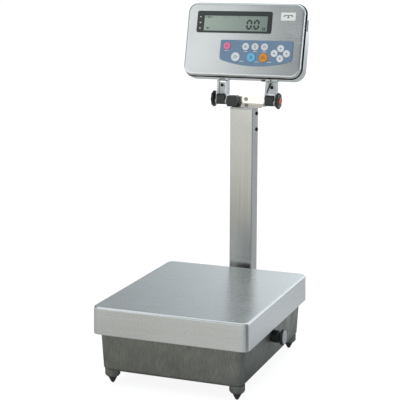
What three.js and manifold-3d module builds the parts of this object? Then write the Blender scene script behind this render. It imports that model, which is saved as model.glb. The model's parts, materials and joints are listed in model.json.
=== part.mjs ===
// Bench scale with a lift-off pan, a rear column and a tilting indicator head.
// Millimetres, +Z up. While it is being built, x = 0, y = 0 is the middle of the pan and z = 0 is
// the floor. The finished group is then moved so that the middle of its footprint is the origin.

import * as THREE from 'three';
import { mergeVertices } from 'three/addons/utils/BufferGeometryUtils.js';
import Module from 'manifold-3d';

const wasm = await Module();
wasm.setup();

// ---------------------------------------------------------------- driving dimensions

const fitGap = 0.3; // clearance between touching pieces
const sheet = 2; // wall of the folded steel parts

const pan = { x: 330, y: 400, top: 165, skirt: 57, wall: 1.5, corner: 15, bend: 4.5, flare: 0.8 };
const tub = {
  halfX: 149.7, halfY: 188.6, floor: 30, rim: 118, draft: THREE.MathUtils.degToRad(3.4),
  corner: 20, bend: 8, wall: 2,
};
const boss = { radius: 15.5, bottom: 15, bore: 5.4 };
const foot = { x: 134, y: 170, top: 28.5, stud: 5, cone: 9.5, tip: 2.2 };
const post = { x: 105, y: 135, radius: 7, top: 150, barWidth: 20, barDepth: 8 };
const lock = { y: -5, z: 82, bore: 5.3, rod: 5, bush: 9, collar: 13, reach: 34.5, knob: 24.6 };
const gland = { bore: 3.4, thread: 8, nut: 11, x: 90, z: 70, inside: 180 };
const column = { x: 53.8, y: 38.8, front: 223.6, bottom: 40.6, top: 519, wall: 2, corner: 3 };
const columnScrew = { y: 250.5, upper: 508.2, lower: 472.3, shank: 2.5, hole: 2.8, head: 4.5 };
const pivot = { y: 256, z: 537, rod: 5, bore: 5.4, halfSpan: 76 };
const tilt = THREE.MathUtils.degToRad(14.55);
const leg = { inner: 44.5, outer: 69.9, plate: 2.5, front: -8, round: 13, bottom: 13, top: 92 };
const stop = { x: -57, front: 254.6, rear: 257.1, middle: 24.4, screw: 31 };
const smallScrew = { shank: 2, hole: 2.3, head: 3.6, rise: 1.9 };
const face = { x: 271.2, z: 162.9, corner: 22, edge: 5, front: -57, middle: 124.4, depth: 11.1 };
const rearCase = { lip: 3, front: -43.3, straight: -19, back: -8.4 };

const display = { x: 174.5, z: 48.5, cx: -24.25, cz: 38.25, depth: 1.5 };
const lcd = { x: 148, z: 33.8, cx: -21, cz: 35.4, depth: 7, margin: 4 };
const headGland = { height: 108, bore: 3.2, thread: 6, nut: 9 };

// Keypad overlay: straight top edge, side edges that lean in, and a bottom edge that bows down.
const keypad = { left: -51, right: 115.5, top: -1.4, side: -44, bow: -58.2, front: 2.3 };
const keySizes = { small: 8, large: 10 };

const columnMiddle = column.front + column.y / 2;

// ---------------------------------------------------------------- finishes

const finish = (color, roughness, metalness) =>
  new THREE.MeshStandardMaterial({ color, roughness, metalness });

const finishes = {
  panSteel: finish(0xc3c6c8, 0.3, 1),
  tubSteel: finish(0x85837e, 0.45, 1),
  columnSteel: finish(0xc2c0bb, 0.35, 1),
  headSteel: finish(0xc9cdce, 0.35, 1),
  polishedSteel: finish(0xe6dccd, 0.15, 1),
  castAluminium: finish(0xa9acae, 0.5, 1),
  blackPlastic: finish(0x1d2021, 0.55, 0),
  blackRubber: finish(0x17191a, 0.85, 0),
  blackScrew: finish(0x1a1b1c, 0.4, 0.6),
  orangePlastic: finish(0xd0603a, 0.5, 0),
  orangeKey: finish(0xe08a2a, 0.5, 0),
  blueKey: finish(0x69b2dc, 0.5, 0),
  pinkKey: finish(0xe0648a, 0.5, 0),
  whiteKey: finish(0xdfe4e8, 0.5, 0),
  slatePanel: finish(0x67788d, 0.5, 0),
  displayLens: finish(0x1b2324, 0.2, 0),
  liquidCrystal: finish(0x8f9a8b, 0.4, 0),
  circuitBoard: finish(0x2f6b45, 0.6, 0),
  whiteLabel: finish(0xf1f1ee, 0.6, 0),
  brownPlug: finish(0x5a4a3d, 0.6, 0),
};

// ---------------------------------------------------------------- solids and outlines

const toSolid = (geometry) => {
  const bare = geometry.clone();
  bare.deleteAttribute('normal');
  bare.deleteAttribute('uv');
  const merged = mergeVertices(bare, 1e-4);
  return new wasm.Manifold(new wasm.Mesh({
    numProp: 3,
    vertProperties: merged.attributes.position.array,
    triVerts: new Uint32Array(merged.index.array),
  }));
};

const toGeometry = (solid) => {
  const mesh = solid.getMesh();
  const geometry = new THREE.BufferGeometry();
  geometry.setAttribute('position', new THREE.BufferAttribute(mesh.vertProperties, 3));
  geometry.setIndex(new THREE.BufferAttribute(mesh.triVerts, 1));
  return geometry;
};

const join = (...geometries) =>
  toGeometry(geometries.map(toSolid).reduce((whole, piece) => whole.add(piece)));

const cut = (geometry, ...tools) =>
  toGeometry(tools.map(toSolid).reduce((rest, tool) => rest.subtract(tool), toSolid(geometry)));

// A box from its low corner to its high corner.
const box = (x0, x1, y0, y1, z0, z1) =>
  new THREE.BoxGeometry(x1 - x0, y1 - y0, z1 - z0)
    .translate((x0 + x1) / 2, (y0 + y1) / 2, (z0 + z1) / 2);

// Upright cylinder between two heights.
const uprightRod = (radius, z0, z1, x = 0, y = 0, sides = 16) =>
  new THREE.CylinderGeometry(radius, radius, z1 - z0, sides)
    .rotateX(Math.PI / 2)
    .translate(x, y, (z0 + z1) / 2);

// Cylinder along X between two stations.
const rodAlongX = (radius, x0, x1, y, z, sides = 16) =>
  new THREE.CylinderGeometry(radius, radius, x1 - x0, sides)
    .rotateZ(Math.PI / 2)
    .translate((x0 + x1) / 2, y, z);

// Cylinder along Y between two stations.
const rodAlongY = (radius, y0, y1, x, z, sides = 12) =>
  new THREE.CylinderGeometry(radius, radius, y1 - y0, sides).translate(x, (y0 + y1) / 2, z);

// A turned piece: profile points are [radius, height], closed on the axis or on themselves.
const turned = (profile, sides = 16) =>
  new THREE.LatheGeometry(profile.map(([r, h]) => new THREE.Vector2(r, h)), sides);
const turnedUp = (profile, sides) => turned(profile, sides).rotateX(Math.PI / 2);
const turnedAlongX = (profile, sides) => turned(profile, sides).rotateZ(-Math.PI / 2);

const roundedRect = (width, height, radius, cx = 0, cy = 0, ShapeClass = THREE.Shape) => {
  const x = cx + width / 2 - radius;
  const y = cy + height / 2 - radius;
  const left = cx - width / 2 + radius;
  const low = cy - height / 2 + radius;
  const shape = new ShapeClass();
  shape.absarc(x, y, radius, 0, Math.PI / 2);
  shape.absarc(left, y, radius, Math.PI / 2, Math.PI);
  shape.absarc(left, low, radius, Math.PI, 1.5 * Math.PI);
  shape.absarc(x, low, radius, 1.5 * Math.PI, 2 * Math.PI);
  shape.closePath();
  return shape;
};

const circle = (radius, cx, cy, ShapeClass = THREE.Path, points = 16) =>
  new ShapeClass(Array.from({ length: points }, (_, i) => {
    const angle = (i / points) * 2 * Math.PI;
    return new THREE.Vector2(cx + radius * Math.cos(angle), cy + radius * Math.sin(angle));
  }));

const polygon = (points) => new THREE.Shape(points.map(([x, y]) => new THREE.Vector2(x, y)));

const extrude = (shape, depth, curveSegments = 2) =>
  new THREE.ExtrudeGeometry(shape, { depth, bevelEnabled: false, curveSegments });

// A plate drawn in plan (x, y), between two heights.
const planPlate = (shape, z0, z1, curveSegments) =>
  extrude(shape, z1 - z0, curveSegments).translate(0, 0, z0);

// A plate drawn from the front (x, z), between two depths.
const frontPlate = (shape, y0, y1, curveSegments) =>
  extrude(shape, y1 - y0, curveSegments).rotateX(Math.PI / 2).translate(0, y1, 0);

// A plate drawn from the side (y, z), between two stations along X given in either order.
const sidePlate = (shape, x0, x1, curveSegments) =>
  extrude(shape, Math.abs(x1 - x0), curveSegments)
    .applyMatrix4(new THREE.Matrix4().makeBasis(
      new THREE.Vector3(0, 1, 0), new THREE.Vector3(0, 0, 1), new THREE.Vector3(1, 0, 0)))
    .translate(Math.min(x0, x1), 0, 0);

// Skin over a stack of rounded rectangles [half x, half y, corner radius, level], capped at both
// ends. A stack that runs up the inside and down the outside gives a tray with walls.
const stack = (levels, cornerSteps = 4) => {
  const rings = levels.map(([halfX, halfY, radius, level]) => {
    const ring = [];
    for (let corner = 0; corner < 4; corner += 1) {
      const sx = corner === 0 || corner === 3 ? 1 : -1;
      const sy = corner < 2 ? 1 : -1;
      for (let step = 0; step <= cornerSteps; step += 1) {
        const angle = (corner + step / cornerSteps) * (Math.PI / 2);
        ring.push([
          sx * (halfX - radius) + radius * Math.cos(angle),
          sy * (halfY - radius) + radius * Math.sin(angle),
          level,
        ]);
      }
    }
    return ring;
  });
  const count = rings[0].length;
  const vertices = [...rings.flat(), [0, 0, levels[0][3]], [0, 0, levels.at(-1)[3]]];
  const firstCap = rings.length * count;
  const lastCap = firstCap + 1;
  const faces = [];
  for (let i = 0; i < count; i += 1) {
    const next = (i + 1) % count;
    faces.push([firstCap, next, i]);
    faces.push([lastCap, (rings.length - 1) * count + i, (rings.length - 1) * count + next]);
    for (let r = 0; r < rings.length - 1; r += 1) {
      const low = r * count;
      const high = low + count;
      faces.push([low + i, low + next, high + next], [low + i, high + next, high + i]);
    }
  }
  const volume = faces.reduce((sum, [a, b, c]) => {
    const [p, q, s] = [vertices[a], vertices[b], vertices[c]].map((v) => new THREE.Vector3(...v));
    return sum + p.dot(q.cross(s));
  }, 0);
  const index = volume > 0 ? faces.flat() : faces.flatMap(([a, b, c]) => [a, c, b]);
  const geometry = new THREE.BufferGeometry();
  geometry.setAttribute('position', new THREE.Float32BufferAttribute(vertices.flat(), 3));
  geometry.setIndex(index);
  return geometry;
};

// Levels of a quarter-round edge: the wall at `level` turns inwards and ends `radius` further on.
const roundedEdge = (halfX, halfY, corner, level, radius, direction, steps = 2) =>
  Array.from({ length: steps + 1 }, (_, i) => {
    const angle = (i / steps) * (Math.PI / 2);
    const inset = radius * (1 - Math.cos(angle));
    return [
      halfX - inset, halfY - inset, Math.max(corner - inset, 1),
      level + direction * radius * Math.sin(angle),
    ];
  });

// ---------------------------------------------------------------- assembly

const scale = new THREE.Group();
const head = new THREE.Group(); // pivot axis at its origin, local y = backwards, local z = up the face
head.position.set(0, pivot.y, pivot.z);
head.rotation.x = -tilt;
scale.add(head);

const add = (parent, name, geometry, material) => {
  const mesh = new THREE.Mesh(geometry, material);
  mesh.name = name;
  parent.add(mesh);
  return mesh;
};

const corners = [
  ['front_left', -1, -1], ['front_right', 1, -1], ['rear_left', -1, 1], ['rear_right', 1, 1],
];
const sides = [['left', -1], ['right', 1]];

// ---------------------------------------------------------------- base

const tubGrow = (z) => (z - tub.floor) * Math.tan(tub.draft);
const tubWallX = (z) => tub.halfX + tubGrow(z);
const tubWallY = (z) => tub.halfY + tubGrow(z);

const tubShell = () => {
  const innerFloor = tub.floor + tub.wall;
  const bendTop = tub.floor + tub.bend;
  const outer = (z) => [tubWallX(z), tubWallY(z), tub.corner, z];
  const inner = (z) => [
    tubWallX(z) - tub.wall, tubWallY(z) - tub.wall, tub.corner - tub.wall, z,
  ];
  const bendInside = tub.bend - tub.wall;
  return stack([
    ...roundedEdge(
      tubWallX(bendTop) - tub.wall, tubWallY(bendTop) - tub.wall, tub.corner - tub.wall,
      innerFloor + bendInside, bendInside, -1).reverse(),
    inner(tub.rim),
    outer(tub.rim),
    ...roundedEdge(tubWallX(bendTop), tubWallY(bendTop), tub.corner, bendTop, tub.bend, -1),
  ]);
};

const baseTub = () => {
  const bosses = corners.map(([, sx, sy]) =>
    uprightRod(boss.radius, boss.bottom, tub.floor + 1, sx * foot.x, sy * foot.y));
  const bores = corners.map(([, sx, sy]) =>
    uprightRod(boss.bore, boss.bottom - 1, tub.floor - 0.8, sx * foot.x, sy * foot.y));
  const lockHole = rodAlongX(lock.bush + fitGap, 140, 160, lock.y, lock.z);
  const glandHole = rodAlongY(gland.thread + fitGap, gland.inside, 200, gland.x, gland.z);
  return cut(join(tubShell(), ...bosses), ...bores, lockHole, glandHole);
};
add(scale, 'base_tub', baseTub(), finishes.tubSteel);

const baseDeck = () => {
  const z0 = tub.rim + fitGap;
  const outline = roundedRect(2 * tubWallX(tub.rim) - 2, 2 * tubWallY(tub.rim) - 2, tub.corner);
  corners.forEach(([, sx, sy]) => {
    outline.holes.push(circle(post.radius + 5, sx * post.x, sy * post.y));
  });
  return planPlate(outline, z0, z0 + sheet);
};
add(scale, 'base_deck', baseDeck(), finishes.tubSteel);

// A bending beam: fixed foot at the front underside, carrying pad at the rear top, and the
// double-lobed window between them that makes it a parallelogram.
const cell = { halfX: 20, halfY: 68, pad: 34, step: 6, height: 50, lobe: 12, lobeY: 16 };
const loadCell = () => {
  const { halfX, halfY, pad, step, height, lobe, lobeY } = cell;
  const low = tub.floor + tub.wall + fitGap;
  const high = low + height;
  const level = low + height / 2;
  const outline = polygon([
    [-halfY, low], [-pad, low], [-pad, low + step], [halfY, low + step],
    [halfY, high], [pad, high], [pad, high - step], [-halfY, high - step],
  ]);
  const lobes = [-lobeY, lobeY].map((y) => circle(lobe, y, level));
  const slot = polygon([
    [-lobeY, level - 5], [lobeY, level - 5], [lobeY, level + 5], [-lobeY, level + 5],
  ]);
  const beam = sidePlate(outline, -halfX, halfX);
  const windows = [...lobes, slot].map((shape) =>
    sidePlate(new THREE.Shape(shape.getPoints()), -halfX - 5, halfX + 5));
  return cut(beam, ...windows);
};
add(scale, 'load_cell', loadCell(), finishes.castAluminium);

// Carrier of the pan: two bars along Y, a crossbar over the load cell, four posts and the lug
// that the transport lock presses on.
const loadFrame = () => {
  const z0 = tub.floor + tub.wall + fitGap + cell.height + fitGap;
  const z1 = z0 + post.barDepth;
  const half = post.barWidth / 2;
  const bars = sides.map(([, s]) =>
    box(s * post.x - half, s * post.x + half, -post.y - half, post.y + half, z0, z1));
  const crossbar = box(-post.x, post.x, cell.pad - 4, cell.halfY - 2, z0, z1);
  const posts = corners.map(([, sx, sy]) =>
    uprightRod(post.radius, z0 + 1, post.top, sx * post.x, sy * post.y));
  const lug = box(
    post.x + 4, post.x + half + 0.5, lock.y - 16, lock.y + 16, lock.z - 12, z0 + 1);
  return join(...bars, crossbar, ...posts, lug);
};
add(scale, 'load_frame', loadFrame(), finishes.castAluminium);

corners.forEach(([name, sx, sy]) => {
  const z0 = post.top + fitGap;
  const z1 = pan.top - pan.wall - fitGap;
  const profile = [[0, z0], [10, z0], [10, z1 - 2], [8, z1], [0, z1]];
  const buffer = turnedUp(profile).translate(sx * post.x, sy * post.y, 0);
  add(scale, `pan_buffer_${name}`, buffer, finishes.blackRubber);
});

corners.forEach(([name, sx, sy]) => {
  const shoulder = boss.bottom - fitGap;
  const profile = [
    [0, 0], [foot.tip, 0], [4.3, 2.4], [foot.cone, shoulder - 1.2],
    [foot.cone, shoulder], [foot.stud, shoulder], [foot.stud, foot.top], [0, foot.top],
  ];
  const geometry = turnedUp(profile).translate(sx * foot.x, sy * foot.y, 0);
  add(scale, `foot_${name}`, geometry, finishes.blackPlastic);
});

const weighingPan = () => {
  const bendLevel = pan.top - pan.bend;
  const bottom = pan.top - pan.skirt;
  const inside = pan.bend - pan.wall;
  const half = (extra) => [pan.x / 2 + extra, pan.y / 2 + extra];
  const corner = pan.corner;
  return stack([
    ...roundedEdge(...half(-pan.wall), corner - pan.wall, bendLevel, inside, 1).reverse(),
    [...half(pan.flare - pan.wall), corner - pan.wall, bottom],
    [...half(pan.flare), corner, bottom],
    ...roundedEdge(...half(0), corner, bendLevel, pan.bend, 1),
  ]);
};
add(scale, 'weighing_pan', weighingPan(), finishes.panSteel);

// ---------------------------------------------------------------- transport lock

const wallAtLock = tubWallX(lock.z);
const bush = { tip: wallAtLock - lock.reach, collar: wallAtLock - 8, outer: wallAtLock + 0.7 };
const lockBush = () => {
  const insideWall = wallAtLock - tub.wall - 1.2;
  return turnedAlongX([
    [lock.bore, bush.tip], [lock.bush, bush.tip], [lock.bush, bush.collar],
    [lock.collar, bush.collar], [lock.collar, insideWall], [lock.bush, insideWall],
    [lock.bush, bush.outer], [lock.bore, bush.outer], [lock.bore, bush.tip],
  ]).translate(0, lock.y, lock.z);
};
add(scale, 'lock_bush', lockBush(), finishes.castAluminium);

const plungerEnd = bush.tip + 15;
add(scale, 'lock_plunger',
  rodAlongX(lock.rod, bush.tip + 0.5, plungerEnd, lock.y, lock.z), finishes.castAluminium);

const knob = { start: bush.outer + 0.4, end: wallAtLock + lock.knob, body: 13, neck: 11, rim: 16 };
const knobSocket = knob.end - 7.7;
add(scale, 'lock_shaft',
  rodAlongX(lock.rod, plungerEnd + fitGap, knobSocket - fitGap, lock.y, lock.z),
  finishes.castAluminium);

const transportKnob = () => turnedAlongX([
  [0, knobSocket], [lock.bore, knobSocket], [lock.bore, knob.start],
  [knob.body - 0.8, knob.start], [knob.body, knob.start + 1], [knob.body, knob.end - 11],
  [knob.neck, knob.end - 9], [knob.neck, knob.end - 7.5], [knob.rim - 0.8, knob.end - 6],
  [knob.rim, knob.end - 4.5], [knob.rim, knob.end - 0.8], [knob.rim - 0.6, knob.end],
  [0, knob.end],
], 20).translate(0, lock.y, lock.z);
add(scale, 'transport_knob', transportKnob(), finishes.blackPlastic);

const transportKnobFace = () => {
  const outline = circle(knob.rim - 1.4, 0, 0, THREE.Shape, 20);
  [-5, 5].forEach((z) => outline.holes.push(circle(1.4, 0, z, THREE.Path, 8)));
  return sidePlate(outline, knob.end + fitGap, knob.end + fitGap + 1.2)
    .translate(0, lock.y, lock.z);
};
add(scale, 'transport_knob_face', transportKnobFace(), finishes.castAluminium);

const baseGland = () => {
  const { bore, thread, nut, inside } = gland;
  const wall = tubWallY(gland.z);
  return turned([
    [bore, inside], [thread, inside], [thread, wall + 1.1], [nut, wall + 1.1],
    [nut, wall + 8], [thread, wall + 12], [bore, wall + 12], [bore, inside],
  ]).translate(gland.x, 0, gland.z);
};
add(scale, 'base_gland', baseGland(), finishes.blackPlastic);

// ---------------------------------------------------------------- column

// Bracket between the rear wall of the tub and the column: a shelf, two cheeks and the
// flanges that follow the draft of the wall.
const socket = { bottom: 37, shelf: 40.3, top: 102, cheek: 3, rear: column.front + column.y + 3 };
const columnSocket = () => {
  const wallFace = (z) => tubWallY(z) + 0.5;
  const inner = column.x / 2 + fitGap;
  const outer = inner + socket.cheek;
  const cheekOutline = polygon([
    [wallFace(socket.bottom), socket.bottom], [socket.rear, socket.bottom],
    [socket.rear, socket.top - 14], [socket.rear - 14, socket.top],
    [wallFace(socket.top), socket.top],
  ]);
  const flangeOutline = polygon([
    [wallFace(socket.bottom), socket.bottom], [wallFace(socket.bottom) + 3, socket.bottom],
    [wallFace(socket.top) + 3, socket.top], [wallFace(socket.top), socket.top],
  ]);
  const shelf = box(
    -outer, outer, wallFace(socket.shelf), socket.rear, socket.bottom, socket.shelf);
  return join(
    shelf,
    ...sides.map(([, s]) => sidePlate(cheekOutline, s * inner, s * outer)),
    sidePlate(flangeOutline, -outer - 24, outer + 24),
  );
};
add(scale, 'column_socket', columnSocket(), finishes.tubSteel);

const columnScrewHoles = () => [columnScrew.upper, columnScrew.lower].map((z) =>
  rodAlongX(columnScrew.hole, 15, 30, columnScrew.y, z, 10));

const columnTube = () => {
  const outline = roundedRect(column.x, column.y, column.corner, 0, columnMiddle);
  outline.holes.push(roundedRect(
    column.x - 2 * column.wall, column.y - 2 * column.wall, 1, 0, columnMiddle, THREE.Path));
  return cut(planPlate(outline, column.bottom, column.top), ...columnScrewHoles());
};
add(scale, 'column_tube', columnTube(), finishes.columnSteel);

// Insert in the top of the column with the seat that carries the cross channel.
const seat = { bottom: column.top + fitGap, top: column.top + 3.3, rear: 275, foot: 455 };
const columnTongue = () => {
  const room = column.wall + fitGap;
  const halfX = column.x / 2 - room;
  const y0 = column.front + room;
  const y1 = column.front + column.y - room;
  const body = box(-halfX, halfX, y0, y1, seat.foot, seat.bottom + 1);
  const hollow = box(-halfX + 3, halfX - 3, y0 + 3, y1 - 3, seat.foot - 5, seat.bottom);
  const seatPlate = box(
    -column.x / 2, column.x / 2, column.front + 0.5, seat.rear, seat.bottom, seat.top);
  const cableHole = uprightRod(7, seat.bottom - 4, seat.top + 3, 0, columnMiddle);
  return cut(join(cut(body, hollow), seatPlate), cableHole, ...columnScrewHoles());
};
add(scale, 'column_tongue', columnTongue(), finishes.castAluminium);

['upper', 'lower'].forEach((name) => {
  const { shank, head: wide } = columnScrew;
  const start = column.x / 2 - 6;
  const underHead = column.x / 2 + fitGap;
  const screw = turnedAlongX([
    [0, start], [shank, start], [shank, underHead], [wide, underHead],
    [wide, underHead + 1.2], [wide - 1.1, underHead + 2.4], [0, underHead + 2.4],
  ], 12).translate(0, columnScrew.y, columnScrew[name]);
  add(scale, `column_screw_${name}`, screw, finishes.blackScrew);
});

// ---------------------------------------------------------------- tilt mechanism, fixed side

// Folded channel across the top of the column, with end cheeks for the pivot rod and a lip
// that slopes forwards over the seat.
const channel = {
  halfX: 44, front: 249, rear: 273, bottom: seat.top + fitGap, top: 545, fold: 529.5,
  cheek: 2.5, lipFront: 229.5, lipLeft: -11.5, screwX: 2,
};
const crossChannel = () => {
  const { front, rear, bottom, top, fold } = channel;
  const hood = polygon([
    [front, fold], [front + sheet, fold], [front + sheet, top - sheet],
    [rear - sheet, top - sheet], [rear - sheet, bottom], [rear, bottom], [rear, top], [front, top],
  ]);
  const lip = polygon([
    [front, fold + 0.6], [front + sheet, fold + 0.6], [front + sheet, fold - 1.4],
    [channel.lipFront + 3.5, bottom], [channel.lipFront, bottom],
  ]);
  const cheek = polygon([
    [front + 0.5, fold], [front + 2, bottom], [rear, bottom], [rear, top - 0.5],
    [front + 0.5, top - 0.5],
  ]);
  const cheeks = sides.map(([, s]) =>
    sidePlate(cheek, s * channel.halfX, s * (channel.halfX - channel.cheek)));
  return cut(
    join(
      sidePlate(hood, -channel.halfX, channel.halfX), ...cheeks,
      sidePlate(lip, channel.lipLeft, channel.halfX)),
    rodAlongX(pivot.bore, -50, 50, pivot.y, pivot.z),
    rodAlongY(columnScrew.hole, 240, 255, channel.screwX, pivot.z + 2),
  );
};
add(scale, 'cross_channel', crossChannel(), finishes.polishedSteel);

add(scale, 'channel_screw',
  join(
    rodAlongY(4.2, channel.front - 2.3, channel.front - fitGap, channel.screwX, pivot.z + 2),
    rodAlongY(2.5, channel.front - 1, channel.front + 1.5, channel.screwX, pivot.z + 2)),
  finishes.castAluminium);

const entry = { x: -25.5, y: 240, z: 535, width: 24, front: 232, bore: 4 };
add(scale, 'cable_entry_block',
  cut(
    frontPlate(
      roundedRect(entry.width, entry.width, 2, entry.x, entry.z),
      entry.front, channel.front - fitGap),
    uprightRod(entry.bore, 520, 550, entry.x, entry.y)),
  finishes.blackPlastic);

add(scale, 'pivot_rod',
  rodAlongX(pivot.rod, -pivot.halfSpan, pivot.halfSpan, pivot.y, pivot.z),
  finishes.castAluminium);

sides.forEach(([name, s]) => {
  const outline = roundedRect(23, 23, 4, pivot.y, pivot.z);
  outline.holes.push(circle(pivot.bore, pivot.y, pivot.z));
  const block = sidePlate(outline, s * (leg.inner + 3), s * (leg.outer - 3));
  add(scale, `friction_block_${name}`, block, finishes.blackPlastic);
});

// Upright that stands in the window of the left leg, on top of the friction block.
const stopArm = () => cut(
  frontPlate(roundedRect(11.5, 25.2, 2.5, stop.x, pivot.z + stop.middle), stop.front, stop.rear),
  rodAlongY(smallScrew.hole, stop.front - 4, stop.rear + 4, stop.x, pivot.z + stop.screw),
);
add(scale, 'tilt_stop_arm', stopArm(), finishes.castAluminium);

// A small screw from behind: shank of the given length, and a head that stops short of `surface`.
const screwAlongY = (surface, length, x, z) => join(
  rodAlongY(smallScrew.head, surface - fitGap - smallScrew.rise, surface - fitGap, x, z),
  rodAlongY(smallScrew.shank, surface - 1, surface + length, x, z),
);
// The screw clamps a dark strip behind the arm, which stands out on the left of it.
const stripShape = () => box(
  stop.x - 8.2, stop.x + 5.6, stop.rear + fitGap, stop.rear + 1.5,
  pivot.z + 12.6, pivot.z + stop.middle + 12.6);
add(scale, 'stop_screw',
  join(stripShape(), screwAlongY(stop.front, 6.4, stop.x, pivot.z + stop.screw)),
  finishes.blackScrew);

// ---------------------------------------------------------------- tilt knobs

const lobedOutline = (radius, depth, lobes) => {
  const points = [];
  const steps = lobes * 4;
  for (let i = 0; i < steps; i += 1) {
    const angle = (i / steps) * 2 * Math.PI;
    const r = radius - depth * (0.5 - 0.5 * Math.cos(lobes * angle)) ** 3;
    points.push(new THREE.Vector2(r * Math.cos(angle), r * Math.sin(angle)));
  }
  return new THREE.Shape(points);
};

const tiltKnob = () => {
  const grip = new THREE.ExtrudeGeometry(lobedOutline(16.4, 1.4, 8), {
    depth: 3.6, bevelEnabled: true, bevelThickness: 1.5, bevelSize: 1.5, bevelSegments: 1,
  }).rotateY(Math.PI / 2).translate(3.8, 0, 0);
  return cut(join(grip, rodAlongX(11.5, 0.5, 3, 0, 0)), rodAlongX(pivot.bore, 0, 6.5, 0, 0));
};

sides.forEach(([name, s]) => {
  const turn = s > 0 ? 0 : Math.PI;
  const knobMesh = add(scale, `tilt_knob_${name}`, tiltKnob(), finishes.blackPlastic);
  knobMesh.position.set(s * leg.outer, pivot.y, pivot.z);
  knobMesh.rotation.y = turn;
  const capShape = turnedAlongX([[0, 9.2], [7.8, 9.2], [7.8, 9.8], [7, 10.4], [0, 10.4]]);
  const cap = add(scale, `tilt_knob_cap_${name}`, capShape, finishes.orangePlastic);
  cap.position.copy(knobMesh.position);
  cap.rotation.y = turn;
});

// ---------------------------------------------------------------- yoke (moves with the head)

const yokeScrew = { x: (leg.inner + leg.outer) / 2 + 3, z: 28 };
const yokeShape = () => {
  const { inner, outer, bottom, top } = leg;
  const back = polygon([
    [-outer, bottom], [-inner, bottom], [-inner, 46], [inner, 46],
    [inner, bottom], [outer, bottom], [outer, top], [-outer, top],
  ]);
  const plate = frontPlate(back, leg.front, leg.front + leg.plate);
  const flange = new THREE.Shape();
  flange.moveTo(leg.front, 60);
  flange.lineTo(leg.front, 0);
  flange.absarc(0, 0, leg.round, Math.PI + 0.66, 2 * Math.PI, false);
  flange.lineTo(leg.round, 6);
  flange.lineTo(leg.front + 9, 60);
  flange.closePath();
  flange.holes.push(circle(pivot.bore, 0, 0));
  const flanges = [-leg.outer, -leg.inner - leg.plate, leg.inner, leg.outer - leg.plate]
    .map((x) => sidePlate(flange, x, x + leg.plate, 5));
  const window = frontPlate(
    polygon([[-66.2, 12], [-50.2, 12], [-50.2, 38], [-51.7, 39.5], [-64.7, 39.5], [-66.2, 38]]),
    leg.front - 2, 0);
  const slit = frontPlate(
    polygon([[47.8, 14], [50.6, 14], [58.8, 37], [54.8, 38.4]]), leg.front - 2, 0);
  const screwHole = rodAlongY(smallScrew.hole, leg.front - 2, 0, yokeScrew.x, yokeScrew.z);
  return cut(join(plate, ...flanges), window, slit, screwHole);
};
add(head, 'yoke', yokeShape(), finishes.headSteel);

// The screw clamps a dark plate behind the leg, which closes the slit.
const backing = { x0: 47.4, x1: 67, z0: 16, z1: 52, thick: 1.4 };
const yokeScrewWithPlate = () => {
  const y0 = leg.front + leg.plate + fitGap;
  return join(
    box(backing.x0, backing.x1, y0, y0 + backing.thick, backing.z0, backing.z1),
    screwAlongY(leg.front, 6, yokeScrew.x, yokeScrew.z));
};
add(head, 'yoke_screw', yokeScrewWithPlate(), finishes.blackScrew);

// ---------------------------------------------------------------- indicator head

// `stack` works along +Z; a head shell is stacked along the forward direction and stood up.
const headShell = (levels) =>
  stack(levels).rotateX(Math.PI / 2).translate(0, 0, face.middle);
const forward = (y) => -y;

const frontPanel = () => {
  const half = (inset) => [face.x / 2 - inset, face.z / 2 - inset];
  const back = face.front + face.depth;
  const shell = headShell([
    ...roundedEdge(...half(sheet), face.corner - sheet, forward(face.front + face.edge),
      face.edge - sheet, 1).reverse(),
    [...half(sheet), face.corner - sheet, forward(back)],
    [...half(0), face.corner, forward(back)],
    ...roundedEdge(...half(0), face.corner, forward(face.front + face.edge), face.edge, 1),
  ]);
  const opening = frontPlate(
    roundedRect(lcd.x + lcd.margin, lcd.z + lcd.margin, 3, lcd.cx, face.middle + lcd.cz),
    face.front - 5, face.front + 8);
  return cut(shell, opening);
};
add(head, 'front_panel', frontPanel(), finishes.headSteel);

const gasketRing = () => {
  const outline = roundedRect(face.x - 4, face.z - 4, face.corner - 2, 0, face.middle);
  outline.holes.push(
    roundedRect(face.x - 14, face.z - 14, face.corner - 7, 0, face.middle, THREE.Path));
  return frontPlate(outline, face.front + face.depth + fitGap, rearCase.front - fitGap);
};
add(head, 'gasket', gasketRing(), finishes.blackRubber);

const port = { y: -38.5, z: 161, width: 7.4, height: 25.4 };
const vent = { x: 48, y: -36, stem: 3, cap: 4.6, low: 36.8, step: 39.5, high: 44 };

const rearShell = () => {
  const half = (grow) => [face.x / 2 + grow, face.z / 2 + grow];
  const corner = face.corner + rearCase.lip;
  const bend = rearCase.back - rearCase.straight;
  const { lip, front, straight } = rearCase;
  const shell = headShell([
    ...roundedEdge(...half(lip - sheet), corner - sheet, forward(straight), bend - sheet, -1)
      .reverse(),
    [...half(lip - sheet), corner - sheet, forward(front)],
    [...half(lip), corner, forward(front)],
    ...roundedEdge(...half(lip), corner, forward(straight), bend, -1),
  ]);
  const glandHole = rodAlongY(headGland.thread + fitGap, -20, 0, 0, headGland.height);
  const sideSlot = box(
    face.x / 2 - 5, face.x / 2 + 10, port.y - 4, port.y + 4, port.z - 13, port.z + 13);
  const ventHole = uprightRod(vent.stem + fitGap, 30, 50, vent.x, vent.y, 10);
  return cut(shell, glandHole, sideSlot, ventHole);
};
add(head, 'rear_case', rearShell(), finishes.headSteel);

const displayWindow = () => frontPlate(
  roundedRect(display.x, display.z, 4, display.cx, face.middle + display.cz),
  face.front - display.depth, face.front - fitGap);
add(head, 'display_window', displayWindow(), finishes.displayLens);

add(head, 'lcd_module',
  frontPlate(roundedRect(lcd.x, lcd.z, 1, lcd.cx, face.middle + lcd.cz),
    face.front + fitGap, face.front + lcd.depth),
  finishes.liquidCrystal);

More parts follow.
